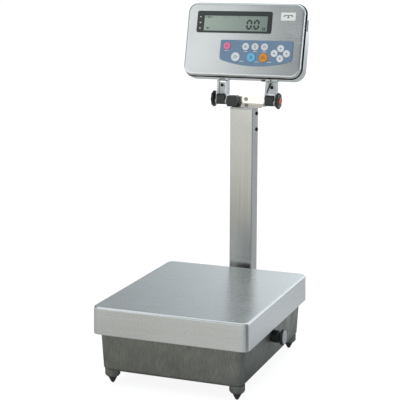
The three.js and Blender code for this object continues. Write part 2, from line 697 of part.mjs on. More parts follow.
add(head, 'main_board',
  frontPlate(roundedRect(190, 110, 2, 0, face.middle + 4), -34, -32.4), finishes.circuitBoard);

const keys = [
  ['power', -35.4, -15, keySizes.small, 'pinkKey'],
  ['zero', 8.4, -15.8, keySizes.small, 'whiteKey'],
  ['unit', 30.1, -15.8, keySizes.small, 'whiteKey'],
  ['print', 51.9, -15.8, keySizes.small, 'whiteKey'],
  ['memory', -13.4, -39, keySizes.large, 'whiteKey'],
  ['function', 22.8, -39.4, keySizes.large, 'blueKey'],
  ['tare', 50.4, -39.4, keySizes.large, 'orangeKey'],
  ['up', 89, -18.2, keySizes.small, 'whiteKey'],
  ['left', 75, -29.3, keySizes.small, 'whiteKey'],
  ['right', 103, -29.3, keySizes.small, 'whiteKey'],
  ['down', 89, -40.4, keySizes.small, 'whiteKey'],
];

const keypadPanel = () => {
  const { left, right, top, side, bow } = keypad;
  const round = 5;
  const shape = new THREE.Shape();
  const z = face.middle;
  shape.moveTo(left + round, z + top);
  shape.quadraticCurveTo(left, z + top, left, z + top - round);
  shape.lineTo(left, z + side + round);
  shape.quadraticCurveTo(left, z + side, left + round + 1, z + side - 3);
  shape.quadraticCurveTo(
    (left + right) / 2, z + 2 * bow - side + 3, right - round - 1, z + side - 3);
  shape.quadraticCurveTo(right, z + side, right, z + side + round);
  shape.lineTo(right, z + top - round);
  shape.quadraticCurveTo(right, z + top, right - round, z + top);
  shape.closePath();
  keys.forEach(([, x, up, radius]) => shape.holes.push(circle(radius + 0.35, x, z + up)));
  return frontPlate(shape, face.front - keypad.front, face.front - fitGap, 6);
};
add(head, 'keypad_panel', keypadPanel(), finishes.slatePanel);

keys.forEach(([name, x, up, radius, finishName]) => {
  const front = keypad.front + 0.9;
  const profile = [
    [0, 0.8], [radius, 0.8], [radius, front - 0.5], [radius - 0.7, front], [0, front],
  ];
  const key = turned(profile).rotateZ(Math.PI).translate(x, face.front, face.middle + up);
  add(head, `key_${name}`, key, finishes[finishName]);
});

const label = { x: 99.5, z: 52.4, width: 33, height: 17.8 };
add(head, 'label_plate',
  frontPlate(
    roundedRect(label.width, label.height, 0.8, label.x, face.middle + label.z),
    face.front - 1, face.front - fitGap),
  finishes.whiteLabel);

add(head, 'side_cover',
  sidePlate(
    roundedRect(port.width, port.height, 2, port.y, port.z), face.x / 2 + 1.6, face.x / 2 + 3.4),
  finishes.blackPlastic);

add(head, 'vent_plug',
  turnedUp([
    [0, vent.low], [vent.cap, vent.low], [vent.cap, vent.step], [vent.stem, vent.step],
    [vent.stem, vent.high], [0, vent.high],
  ], 12).translate(vent.x, vent.y, 0),
  finishes.brownPlug);

const headGlandShape = () => {
  const { bore, thread, nut, height } = headGland;
  return turned([
    [bore, -16], [thread, -16], [thread, -8.1], [nut, -8.1], [nut, -2], [thread + 0.5, 2],
    [bore, 2], [bore, -16],
  ]).translate(0, 0, height);
};
add(head, 'head_gland', headGlandShape(), finishes.blackPlastic);

// ---------------------------------------------------------------- origin

scale.updateMatrixWorld(true);
const extent = new THREE.Box3().setFromObject(scale, true);
const middle = extent.getCenter(new THREE.Vector3());
scale.position.set(-middle.x, -middle.y, -extent.min.z);

export default scale;
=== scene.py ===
"""Looks of a stainless bench scale: pan, tub, column and tilting indicator head.

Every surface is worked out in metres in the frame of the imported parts. Each operator makes one
piece or one group of like pieces, and `main` calls them in order.
"""

import json
import math

import bmesh
import bpy
import numpy as np
from bpy.props import FloatProperty, FloatVectorProperty, IntProperty, PointerProperty
from bpy.types import NodeSocket, Operator, Panel, PropertyGroup
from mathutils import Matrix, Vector
from mathutils.geometry import delaunay_2d_cdt


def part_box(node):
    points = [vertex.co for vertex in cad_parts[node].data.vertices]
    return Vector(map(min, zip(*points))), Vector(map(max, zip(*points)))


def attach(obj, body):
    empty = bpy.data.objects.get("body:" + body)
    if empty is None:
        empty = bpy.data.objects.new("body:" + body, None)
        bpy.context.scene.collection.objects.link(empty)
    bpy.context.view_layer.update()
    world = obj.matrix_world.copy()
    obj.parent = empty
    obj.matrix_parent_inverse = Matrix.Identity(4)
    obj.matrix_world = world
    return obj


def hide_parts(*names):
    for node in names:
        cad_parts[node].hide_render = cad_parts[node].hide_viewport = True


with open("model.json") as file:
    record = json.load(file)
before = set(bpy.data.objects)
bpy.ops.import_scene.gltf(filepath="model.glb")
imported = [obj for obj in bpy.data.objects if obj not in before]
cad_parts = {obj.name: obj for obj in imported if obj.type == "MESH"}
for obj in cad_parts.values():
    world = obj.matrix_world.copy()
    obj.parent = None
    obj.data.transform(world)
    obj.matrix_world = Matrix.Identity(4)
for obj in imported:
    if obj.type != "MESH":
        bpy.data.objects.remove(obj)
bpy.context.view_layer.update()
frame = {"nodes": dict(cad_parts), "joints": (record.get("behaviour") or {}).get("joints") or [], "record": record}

bl_info = {
    "name": "Bench Scale",
    "version": (1, 0, 0),
    "blender": (4, 5, 0),
    "location": "3D View > Sidebar > Bench Scale",
    "description": "Builds a stainless bench scale with a tilting indicator head",
    "category": "Mesh",
}

MM = 0.001
SUPPORT = 0.6 * MM  # how far from a bend a flat face gets the ring that keeps it flat
SMOOTH_ANGLE = math.radians(38)
CORNERS = {
    "front_left": (-1, -1),
    "front_right": (1, -1),
    "rear_left": (-1, 1),
    "rear_right": (1, 1),
}
SIDES = {"left": -1, "right": 1}
JOINTS = {joint["name"]: joint for joint in frame["joints"]}
BODY_OF = {
    node: body
    for body, nodes in frame["record"]["behaviour"]["bodies"].items()
    for node in nodes
}


# ---------------------------------------------------------------- frames


class Placing:
    """A local frame: an origin and the axes right, up and out, with out = right x up."""

    def __init__(self, origin, right, up):
        right, up = np.array(right, float), np.array(up, float)
        self.origin = np.array(origin, float)
        self.axes = np.array([right, up, np.cross(right, up)])

    def out(self, local):
        """Local points turned into row-frame points."""
        return self.origin + np.asarray(local, float) @ self.axes

    def box(self, node):
        """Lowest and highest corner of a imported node, measured along this frame's axes."""
        mesh = frame["nodes"][node].data
        points = np.empty(len(mesh.vertices) * 3)
        mesh.vertices.foreach_get("co", points)
        local = (points.reshape(-1, 3) - self.origin) @ self.axes.T
        return local.min(0), local.max(0)

    def moved(self, right=0.0, up=0.0, out=0.0):
        """The same axes at another origin."""
        return Placing(self.out((right, up, out)), self.axes[0], self.axes[1])


UPRIGHT = Placing((0, 0, 0), (1, 0, 0), (0, 1, 0))


def head_placing():
    """Frame of the indicator head: origin on the tilt axis, up along the face, out of the face."""
    press = np.array(JOINTS["key_power_press"]["axis"])
    right = np.array((1.0, 0.0, 0.0))
    return Placing(JOINTS["head_tilt"]["pos_m"], right, np.cross(right, press))


HEAD = head_placing()


def middle(low, high):
    """Midpoint of a box."""
    return (np.array(low) + np.array(high)) / 2


def along_x(node, sign=1):
    """Frame on a node's own centre line, with out along X, or against it if the sign is -1."""
    low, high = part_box(node)
    centre = middle(low, high)
    centre[0] = 0.0
    return Placing(centre, (0, sign, 0), (0, 0, 1))


# ---------------------------------------------------------------- surfaces


def arc(centre, radius, start, end, steps=8):
    """Points of an arc: centre + radius * (cos, sin) of the angles from start to end degrees."""
    angle = np.radians(np.linspace(start, end, steps + 1))
    return np.array(centre) + radius * np.stack([np.cos(angle), np.sin(angle)], axis=1)


def held(*stretches):
    """A profile through the stretches in turn. Each straight gap gets a point just inside both of
    its ends, so that its face stays flat when the bends beside it are shaded smooth."""
    points = np.concatenate([np.atleast_2d(np.array(part, float)) for part in stretches])
    gaps = np.diff(points, axis=0)
    length = np.linalg.norm(gaps, axis=1)
    long = length > 3 * SUPPORT
    step = SUPPORT * gaps / np.maximum(length, 1e-9)[:, None]
    after = points[:-1] + step
    before = points[1:] - step
    at = np.flatnonzero(long) + 1
    extra = np.stack([after[long], before[long]], axis=1).reshape(-1, 2)
    return np.insert(points, np.repeat(at, 2), extra, axis=0)


def rectangle_rings(half_u, half_v, corner, profile, centre=(0.0, 0.0), steps=10):
    """Rings of a rounded rectangle carried along a profile of (offset, level).

    Each point is the centre of the nearest corner circle, plus (corner + offset) times the unit
    direction (cos, sin), so the offset grows the rectangle evenly. The level is the height."""
    quarter = np.linspace(0, np.pi / 2, steps + 1)
    angle = (np.arange(4)[:, None] * np.pi / 2 + quarter).ravel()
    sign_u = np.repeat([1, -1, -1, 1], steps + 1)
    sign_v = np.repeat([1, 1, -1, -1], steps + 1)
    offset, level = np.asarray(profile, float).T
    reach = np.maximum(corner + offset, 0.05 * MM)[:, None]
    shrink = np.minimum(corner + offset, 0.0)[:, None]
    u = centre[0] + sign_u * (half_u - corner + shrink) + reach * np.cos(angle)
    v = centre[1] + sign_v * (half_v - corner + shrink) + reach * np.sin(angle)
    return np.stack([u, v, np.broadcast_to(level[:, None], u.shape)], axis=2)


def turned_rings(profile, around=64, relief=None):
    """Rings of a turned piece: radius and height from the profile, turned about the out axis.

    `relief` is a (profile points x around) array of lengths added to the radius."""
    radius, height = np.asarray(profile, float).T
    angle = np.arange(around) * 2 * np.pi / around
    reach = np.broadcast_to(radius[:, None], (len(radius), around))
    if relief is not None:
        reach = reach + relief
    level = np.broadcast_to(height[:, None], reach.shape)
    return np.stack([reach * np.cos(angle), reach * np.sin(angle), level], axis=2)


def ring_faces(count, around, looped):
    """Quads between each ring and the next one, and from the last to the first if looped."""
    first = np.arange(count if looped else count - 1)[:, None] * around
    second = (first + around) % (count * around)
    here = np.arange(around)[None, :]
    there = (here + 1) % around
    quads = np.stack([first + here, first + there, second + there, second + here], axis=2)
    return quads.reshape(-1, 4).tolist()


def put_mesh(name, points, faces, placing=UPRIGHT):
    """Makes a piece from points and faces, with its faces turned outwards and its bends smooth."""
    mesh = bpy.data.meshes.new(name)
    mesh.from_pydata(placing.out(points).tolist(), [], faces)
    mesh.calc_loop_triangles()
    corners = np.empty(len(mesh.loop_triangles) * 3, np.int32)
    mesh.loop_triangles.foreach_get("vertices", corners)
    spot = placing.out(points)[corners].reshape(-1, 3, 3)
    spot = spot - spot.mean((0, 1))
    if np.einsum("ij,ij->i", spot[:, 0], np.cross(spot[:, 1], spot[:, 2])).sum() < 0:
        mesh.flip_normals()
    mesh.shade_smooth()
    mesh.set_sharp_from_angle(angle=SMOOTH_ANGLE)
    piece = bpy.data.objects.new(name, mesh)
    bpy.context.scene.collection.objects.link(piece)
    return piece


def loft(name, rings, placing=UPRIGHT, looped=False):
    """Skin over rings of points, closed by flat ends, or running back to the start if looped."""
    count, around = rings.shape[:2]
    faces = ring_faces(count, around, looped)
    if not looped:
        last = (count - 1) * around
        faces += [list(range(around))[::-1], list(range(last, last + around))]
    return put_mesh(name, rings.reshape(-1, 3), faces, placing)


def turned(name, profile, placing, around=64, relief=None):
    """A turned piece, closed by a flat disc at each end of its profile."""
    return loft(name, turned_rings(profile, around, relief), placing)


def pushed_in(outline, distance):
    """An outline moved inwards: each point goes along the mean of its two neighbouring normals."""
    ahead = np.roll(outline, -1, axis=0) - outline
    normal = np.stack([-ahead[:, 1], ahead[:, 0]], axis=1)
    normal /= np.maximum(np.linalg.norm(normal, axis=1), 1e-12)[:, None]
    mean = normal + np.roll(normal, 1, axis=0)
    mean /= np.maximum((mean * normal).sum(1), 1e-6)[:, None]
    return outline + distance * mean


def pierced_plate(name, outline, holes, back, front, edge, placing):
    """A flat plate with holes. Its front edges follow a quarter circle of radius `edge`: at
    angle a the outline has moved in by edge (1 - cos a) and up by edge sin a. Both faces are
    filled by a constrained triangulation."""
    turn = np.radians(np.linspace(0, 90, 4))
    inset = np.concatenate([[0.0], edge * (1 - np.cos(turn)), [edge + 0.1 * MM]])
    level = np.concatenate([[back], front - edge + edge * np.sin(turn), [front]])
    points, faces, first_ring, last_ring = [], [], [], []
    for loop in [outline, *[hole[::-1] for hole in holes]]:
        start = sum(len(block) for block in points)
        rings = [np.column_stack([pushed_in(loop, i), np.full(len(loop), z)])
                 for i, z in zip(inset, level)]
        points.append(np.concatenate(rings))
        faces += [[start + index for index in face]
                  for face in ring_faces(len(rings), len(loop), False)]
        first_ring.append(start + np.arange(len(loop)))
        last_ring.append(start + (len(rings) - 1) * len(loop) + np.arange(len(loop)))
    points = np.concatenate(points)
    for loops in (first_ring, last_ring):
        order = np.concatenate(loops)
        sizes = np.cumsum([0] + [len(loop) for loop in loops])
        bounds = [list(range(a, b)) for a, b in zip(sizes[:-1], sizes[1:])]
        filled = delaunay_2d_cdt(points[order, :2].tolist(), [], bounds, 5, 1e-9)
        source = [order[ids[0]] for ids in filled[3]]
        flip = loops is first_ring
        patch = [[int(source[i]) for i in face] for face in filled[2]]
        faces += [face[::-1] for face in patch] if flip else patch
    return put_mesh(name, points, faces, placing)


def inlay(name, shapes, back, front, placing):
    """Flat marks: each outline becomes a thin closed plate between two levels."""
    points, faces, start = [], [], 0
    for outline in shapes:
        count = len(outline)
        rings = np.stack([np.column_stack([outline, np.full(count, level)])
                          for level in (back, front)])
        points.append(rings.reshape(-1, 3))
        loops = ring_faces(2, count, False)
        loops += [list(range(count))[::-1], list(range(count, 2 * count))]
        faces += [[start + index for index in face] for face in loops]
        start += 2 * count
    return put_mesh(name, np.concatenate(points), faces, placing)


def softened(node, width, name=None, segments=3):
    """A copy of a packed sheet part with its corners merged and its edges rounded."""
    mesh = frame["nodes"][node].data.copy()
    shape = bmesh.new()
    shape.from_mesh(mesh)
    bmesh.ops.remove_doubles(shape, verts=shape.verts, dist=0.01 * MM)
    bmesh.ops.dissolve_limit(
        shape, angle_limit=math.radians(1), verts=shape.verts, edges=shape.edges)
    shape.to_mesh(mesh)
    shape.free()
    mesh.shade_smooth()
    mesh.set_sharp_from_angle(angle=SMOOTH_ANGLE)
    piece = bpy.data.objects.new(name or f"{node}_finished", mesh)
    bpy.context.scene.collection.objects.link(piece)
    bevel = piece.modifiers.new("Rounded edges", "BEVEL")
    bevel.width = width
    bevel.segments = segments
    bevel.limit_method = "ANGLE"
    bevel.angle_limit = math.radians(40)
    bevel.harden_normals = True
    return piece


# ---------------------------------------------------------------- flat outlines


def bar(u, v, width, height):
    """A rectangle about (u, v), as a counter-clockwise outline."""
    return np.array([(u - width / 2, v - height / 2), (u + width / 2, v - height / 2),
                     (u + width / 2, v + height / 2), (u - width / 2, v + height / 2)])


def regular(u, v, radius, sides, start=90.0):
    """A regular polygon about (u, v) with its first corner at `start` degrees."""
    angle = np.radians(start) + np.arange(sides) * 2 * np.pi / sides
    return np.stack([u + radius * np.cos(angle), v + radius * np.sin(angle)], axis=1)


def band(u, v, radius, width, start=0.0, end=350.0, steps=24):
    """Part of a ring: out along the outer arc and back along the inner one."""
    outer = arc((u, v), radius + width / 2, start, end, steps)
    inner = arc((u, v), radius - width / 2, start, end, steps)[::-1]
    return np.concatenate([outer, inner])


def frame_bars(u, v, width, height, line):
    """Four bars that make the outline of a rectangle."""
    return [bar(u, v + (height - line) / 2, width, line),
            bar(u, v - (height - line) / 2, width, line),
            bar(u - (width - line) / 2, v, line, height - 2 * line),
            bar(u + (width - line) / 2, v, line, height - 2 * line)]


def stroke(start, end, width):
    """A straight stroke with pointed ends, as on a display segment."""
    start, end = np.array(start), np.array(end)
    along = (end - start) / np.linalg.norm(end - start) * width / 2
    across = np.array((-along[1], along[0]))
    return np.array([start, start + along - across, end - along - across,
                     end, end - along + across, start + along + across])


def segment_digit(u, v, width, height, line, gap, lit):
    """The lit strokes of a seven segment digit whose lower left corner is (u, v)."""
    left, right = u + line / 2, u + width - line / 2
    low, mid, high = v + line / 2, v + height / 2, v + height - line / 2
    ends = {
        "a": ((left + gap, high), (right - gap, high)),
        "b": ((right, mid + gap), (right, high - gap)),
        "c": ((right, low + gap), (right, mid - gap)),
        "d": ((left + gap, low), (right - gap, low)),
        "e": ((left, low + gap), (left, mid - gap)),
        "f": ((left, mid + gap), (left, high - gap)),
        "g": ((left + gap, mid), (right - gap, mid)),
    }
    return [stroke(*ends[name], line) for name in lit]


# ---------------------------------------------------------------- shader building


def plug(tree, value, socket):
    """Links a socket to another one, or sets its number."""
    if isinstance(value, NodeSocket):
        tree.links.new(value, socket)
    elif value is not None:
        socket.default_value = value


def math_node(tree, operation, *values, clamp=False):
    """A math node with its inputs filled."""
    node = tree.nodes.new("ShaderNodeMath")
    node.operation = operation
    node.use_clamp = clamp
    for value, socket in zip(values, node.inputs):
        plug(tree, value, socket)
    return node.outputs[0]


def vector_node(tree, operation, *values, output=0):
    """A vector math node with its inputs filled."""
    node = tree.nodes.new("ShaderNodeVectorMath")
    node.operation = operation
    for value, socket in zip(values, node.inputs):
        plug(tree, value, socket)
    return node.outputs[output]


def noise(tree, vector, scale, detail=3.0, roughness=0.6):
    """Noise between 0 and 1 with its middle near 0.5."""
    node = tree.nodes.new("ShaderNodeTexNoise")
    node.inputs["Detail"].default_value = detail
    node.inputs["Roughness"].default_value = roughness
    plug(tree, vector, node.inputs["Vector"])
    plug(tree, scale, node.inputs["Scale"])
    return node.outputs["Fac"]


def ramp(tree, value, low, high, from_value=0.0, to_value=1.0, smooth=True):
    """Maps low..high onto from_value..to_value, clamped."""
    node = tree.nodes.new("ShaderNodeMapRange")
    node.interpolation_type = "SMOOTHSTEP" if smooth else "LINEAR"
    for label, number in (("Value", value), ("From Min", low), ("From Max", high),
                          ("To Min", from_value), ("To Max", to_value)):
        plug(tree, number, node.inputs[label])
    return node.outputs[0]


def blend_colours(tree, amount, first, second):
    """Mixes two colours."""
    node = tree.nodes.new("ShaderNodeMix")
    node.data_type = "RGBA"
    plug(tree, amount, node.inputs["Factor"])
    plug(tree, first, node.inputs["A"])
    plug(tree, second, node.inputs["B"])
    return node.outputs["Result"]


def object_coordinates(tree):
    """Object coordinates, which are metres in the row frame."""
    return tree.nodes.new("ShaderNodeTexCoord").outputs["Object"]


def new_group(name, inputs, outputs):
    """A shader node group with named sockets, and its two end nodes."""
    group = bpy.data.node_groups.new(name, "ShaderNodeTree")
    for label, kind, default in inputs:
        socket = group.interface.new_socket(label, in_out="INPUT", socket_type=kind)
        socket.default_value = default
    for label in outputs:
        group.interface.new_socket(label, in_out="OUTPUT", socket_type="NodeSocketFloat")
    return group, group.nodes.new("NodeGroupInput"), group.nodes.new("NodeGroupOutput")


def grain_group():
    """Brushed grain: noise drawn out along the brushing, turned on faces that look sideways."""
    group, given, put = new_group(
        "Brushed grain",
        [("Front stretch", "NodeSocketVector", (3, 700, 700)),
         ("Side stretch", "NodeSocketVector", (700, 3, 700)),
         ("Cloud scale", "NodeSocketFloat", 12.0)],
        ["Lines", "Clouds"])
    spot = object_coordinates(group)
    lines = []
    for label in ("Front stretch", "Side stretch"):
        drawn = vector_node(group, "MULTIPLY", spot, given.outputs[label])
        lines.append(noise(group, drawn, 1.0, 3.0, 0.6))
    turned_away = group.nodes.new("ShaderNodeSeparateXYZ")
    plug(group, group.nodes.new("ShaderNodeNewGeometry").outputs["Normal"],
         turned_away.inputs[0])
    sideways = ramp(group, math_node(group, "ABSOLUTE", turned_away.outputs["X"]), 0.6, 0.8)
    mixed = group.nodes.new("ShaderNodeMix")
    plug(group, sideways, mixed.inputs["Factor"])
    plug(group, lines[0], mixed.inputs["A"])
    plug(group, lines[1], mixed.inputs["B"])
    plug(group, mixed.outputs["Result"], put.inputs["Lines"])
    plug(group, noise(group, spot, given.outputs["Cloud scale"], 3.0, 0.5),
         put.inputs["Clouds"])
    return group


def wear_group():
    """Edge wear: how far a rounded-off normal leaves the true one, broken up by noise."""
    group, given, put = new_group(
        "Edge wear",
        [("Radius", "NodeSocketFloat", 0.8 * MM), ("Amount", "NodeSocketFloat", 1.0)],
        ["Mask"])
    rounded = group.nodes.new("ShaderNodeBevel")
    rounded.samples = 4
    plug(group, given.outputs["Radius"], rounded.inputs["Radius"])
    true = group.nodes.new("ShaderNodeNewGeometry").outputs["Normal"]
    same = vector_node(group, "DOT_PRODUCT", rounded.outputs[0], true, output=1)
    apart = ramp(group, math_node(group, "SUBTRACT", 1.0, same), 0.01, 0.2)
    rubbed = ramp(group, noise(group, object_coordinates(group), 140.0), 0.3, 0.7, 0.35, 1.0)
    mask = math_node(group, "MULTIPLY", apart, rubbed)
    plug(group, math_node(group, "MULTIPLY", mask, given.outputs["Amount"], clamp=True),
         put.inputs["Mask"])
    return group


def smudge_group():
    """Smudges: soft patches where the surface was wiped or handled."""
    group, given, put = new_group(
        "Smudges", [("Scale", "NodeSocketFloat", 20.0)], ["Mask"])
    patches = noise(group, object_coordinates(group), given.outputs["Scale"], 5.0, 0.6)
    plug(group, ramp(group, patches, 0.42, 0.72), put.inputs["Mask"])
    return group


def skin_group():
    """Moulded skin: the fine pebbled texture of a moulded surface."""
    group, given, put = new_group(
        "Moulded skin", [("Scale", "NodeSocketFloat", 900.0)], ["Height", "Mottle"])
    spot = object_coordinates(group)
    pebbles = group.nodes.new("ShaderNodeTexVoronoi")
    plug(group, spot, pebbles.inputs["Vector"])
    plug(group, given.outputs["Scale"], pebbles.inputs["Scale"])
    plug(group, ramp(group, pebbles.outputs["Distance"], 0.0, 0.8), put.inputs["Height"])
    plug(group, noise(group, spot, 60.0, 4.0), put.inputs["Mottle"])
    return group


GROUPS = {}


def place_group(tree, name, **values):
    """Puts a shared group into a material; keywords are its inputs with _ for a space."""
    if name not in GROUPS:
        GROUPS[name] = {
            "Brushed grain": grain_group, "Edge wear": wear_group,
            "Smudges": smudge_group, "Moulded skin": skin_group,
        }[name]()
    node = tree.nodes.new("ShaderNodeGroup")
    node.node_tree = GROUPS[name]
    for label, value in values.items():
        plug(tree, value, node.inputs[label.replace("_", " ")])
    return node.outputs


def shaded(colour, factor):
    """A colour multiplied in brightness."""
    return (*[min(1.0, channel * factor) for channel in colour[:3]], 1.0)


def new_material(name, **fixed):
    """A material with a Principled shader whose uniform numbers are set on its own sockets.
    Its name ends in _finish, to stay apart from the plain packed material of the same slot."""
    material = bpy.data.materials.new(f"{name}_finish")
    material.use_nodes = True
    tree = material.node_tree
    principled = tree.nodes["Principled BSDF"]
    for label, value in fixed.items():
        principled.inputs[label.replace("_", " ")].default_value = value
    return material, tree, principled


def add_bump(tree, principled, height, depth, strength=1.0):
    """Bump of a given depth in metres under a shader's normal."""
    bump = tree.nodes.new("ShaderNodeBump")
    bump.inputs["Strength"].default_value = strength
    bump.inputs["Distance"].default_value = depth
    plug(tree, height, bump.inputs["Height"])
    plug(tree, bump.outputs[0], principled.inputs["Normal"])


def steel(name, colour, roughness, front=(3, 700, 700), side=(700, 3, 700),
          cloud=9.0, streak=0.12, patch=0.1, depth=0.0006 * MM, wear=0.5, smudge=0.04):
    """Brushed or blasted stainless steel. Grain lines change colour, roughness and bump, clouds
    and smudges change roughness, and edges are rubbed brighter and smoother."""
    material, tree, principled = new_material(name, Metallic=1.0)
    grain = place_group(tree, "Brushed grain", Front_stretch=front, Side_stretch=side,
                        Cloud_scale=cloud)
    mask = place_group(tree, "Edge wear", Radius=0.9 * MM, Amount=wear)["Mask"]
    wiped = place_group(tree, "Smudges", Scale=14.0)["Mask"]
    lines = ramp(tree, grain["Lines"], 0.3, 0.7, smooth=False)
    body = blend_colours(tree, lines, shaded(colour, 1 - streak), shaded(colour, 1 + streak))
    clouds = ramp(tree, grain["Clouds"], 0.3, 0.7)
    tint = blend_colours(tree, math_node(tree, "MULTIPLY", clouds, patch), body,
                         shaded(colour, 0.55))
    plug(tree, blend_colours(tree, mask, tint, shaded(colour, 1.35)),
         principled.inputs["Base Color"])
    spread = math_node(tree, "MULTIPLY_ADD", lines, 0.04, roughness - 0.02)
    spread = math_node(tree, "MULTIPLY_ADD", clouds, patch, spread)
    spread = math_node(tree, "MULTIPLY_ADD", wiped, smudge, spread)
    spread = math_node(tree, "MULTIPLY_ADD", mask, -0.12, spread, clamp=True)
    plug(tree, spread, principled.inputs["Roughness"])
    add_bump(tree, principled, grain["Lines"], depth)
    return material


def moulded(name, colour, roughness, skin=900.0, depth=0.03 * MM, wear=0.35, mottle=0.12,
            **fixed):
    """Moulded plastic or rubber: pebbled skin, faint mottling, paler rubbed edges, smudges."""
    material, tree, principled = new_material(name, **fixed)
    texture = place_group(tree, "Moulded skin", Scale=skin)
    mask = place_group(tree, "Edge wear", Radius=0.6 * MM, Amount=wear)["Mask"]
    wiped = place_group(tree, "Smudges", Scale=35.0)["Mask"]
    body = blend_colours(tree, texture["Mottle"], shaded(colour, 1 - mottle),
                         shaded(colour, 1 + mottle))
    paler = [channel + 0.25 * (1 - channel) for channel in colour[:3]] + [1.0]
    plug(tree, blend_colours(tree, mask, body, tuple(paler)), principled.inputs["Base Color"])
    spread = math_node(tree, "MULTIPLY_ADD", wiped, -0.12, roughness + 0.04)
    spread = math_node(tree, "MULTIPLY_ADD", texture["Mottle"], 0.1, spread, clamp=True)
    plug(tree, spread, principled.inputs["Roughness"])
    add_bump(tree, principled, texture["Height"], depth)
    return material


def circuit_board_finish(name, colour):
    """Solder resist over copper tracks: cells of two greens between paler green lines."""
    material, tree, principled = new_material(name, Coat_Weight=0.4)
    tracks = tree.nodes.new("ShaderNodeTexBrick")
    tracks.inputs["Scale"].default_value = 160.0
    tracks.inputs["Color1"].default_value = shaded(colour, 0.8)
    tracks.inputs["Color2"].default_value = shaded(colour, 1.3)
    tracks.inputs["Mortar"].default_value = shaded(colour, 1.8)
    spot = tree.nodes.new("ShaderNodeSeparateXYZ")
    plug(tree, object_coordinates(tree), spot.inputs[0])
    flat = tree.nodes.new("ShaderNodeCombineXYZ")
    plug(tree, spot.outputs["X"], flat.inputs["X"])
    plug(tree, spot.outputs["Z"], flat.inputs["Y"])
    plug(tree, flat.outputs[0], tracks.inputs["Vector"])
    plug(tree, tracks.outputs["Color"], principled.inputs["Base Color"])
    wiped = place_group(tree, "Smudges", Scale=40.0)["Mask"]
    plug(tree, math_node(tree, "MULTIPLY_ADD", wiped, 0.2, 0.35), principled.inputs["Roughness"])
    add_bump(tree, principled, tracks.outputs["Fac"], 0.03 * MM)
    return material


def liquid_crystal_finish(name, bright, darkest_painted_shade):
    """A reflective liquid crystal cell with painted shade: it darkens to the right, over a fine paper-like grain.
    """
    material, tree, principled = new_material(name, Coat_Weight=0.6, Coat_Roughness=0.12)
    low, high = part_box("lcd_module")
    place = tree.nodes.new("ShaderNodeSeparateXYZ")
    plug(tree, object_coordinates(tree), place.inputs[0])
    # Painted shade: the cell's colour darkens from its left edge to its right edge.
    across = ramp(tree, place.outputs["X"], low.x, high.x, smooth=False)
    grain = place_group(tree, "Moulded skin", Scale=2500.0)
    painted_shade = math_node(tree, "MULTIPLY_ADD", grain["Mottle"], 0.12, across, clamp=True)
    plug(tree, blend_colours(tree, painted_shade, bright, darkest_painted_shade), principled.inputs["Base Color"])
    plug(tree, math_node(tree, "MULTIPLY_ADD", grain["Mottle"], 0.1, 0.4),
         principled.inputs["Roughness"])
    add_bump(tree, principled, grain["Height"], 0.005 * MM)
    return material


# ---------------------------------------------------------------- settings


def length(label, about, metres):
    """A length property."""
    return FloatProperty(name=label, description=about, default=metres, unit="LENGTH",
                         min=0.0, precision=4)


def angle(label, about, degrees):
    """An angle property."""
    return FloatProperty(name=label, description=about, default=math.radians(degrees),
                         subtype="ANGLE")


def colour(label, about, red, green, blue):
    """A linear colour property."""
    return FloatVectorProperty(name=label, description=about, default=(red, green, blue, 1.0),
                               size=4, subtype="COLOR", min=0.0, max=1.0)


class FinishSettings(PropertyGroup):
    """Colours of the finishes."""

    pan_steel: colour("Pan", "Satin steel of the weighing pan", 0.56, 0.58, 0.585)
    # The tub's dark steel is partly its duller finish and partly painted shade, darkened for the shade under the
    # pan's overhang.
    tub_steel: colour("Tub", "Dull steel of the base tub", 0.19, 0.2, 0.185)
    column_steel: colour("Column", "Brushed steel of the column", 0.43, 0.435, 0.42)
    head_steel: colour("Head", "Fine satin steel of the head", 0.56, 0.58, 0.58)
    polished_steel: colour("Channel", "Polished steel of the cross channel", 0.80, 0.75, 0.70)
    cast_aluminium: colour("Aluminium", "Machined and cast aluminium", 0.42, 0.435, 0.44)
    black_plastic: colour("Plastic", "Black moulded plastic", 0.016, 0.018, 0.019)
    black_rubber: colour("Rubber", "Black rubber", 0.03, 0.029, 0.028)
    black_screw: colour("Screws", "Blackened steel screws", 0.03, 0.03, 0.032)
    orange_plastic: colour("Knob caps", "Orange red caps of the tilt knobs", 0.56, 0.10, 0.035)
    orange_key: colour("Orange key", "Moulded orange key", 0.74, 0.27, 0.030)
    blue_key: colour("Blue key", "Moulded blue key", 0.15, 0.48, 0.73)
    pink_key: colour("Pink key", "Moulded pink key", 0.85, 0.20, 0.36)
    white_key: colour("White keys", "Moulded white keys", 0.72, 0.75, 0.79)
    slate_panel: colour("Keypad", "Slate blue keypad overlay", 0.16, 0.25, 0.37)
    display_lens: colour("Bezel", "Dark printed display bezel", 0.012, 0.019, 0.020)
    # The display's two colours are the two ends of a painted shade that darkens the cell to the right.
    lcd_unshaded_left: colour("Display, left", "Liquid crystal at the left", 0.36, 0.44, 0.38)
    liquid_crystal: colour("Display, right", "Liquid crystal at the right", 0.2, 0.25, 0.225)
    circuit_board: colour("Circuit board", "Solder resist", 0.03, 0.15, 0.06)
    white_label: colour("Label", "Blank white label", 0.86, 0.86, 0.84)
    brown_plug: colour("Vent plug", "Brown breather plug", 0.10, 0.07, 0.045)


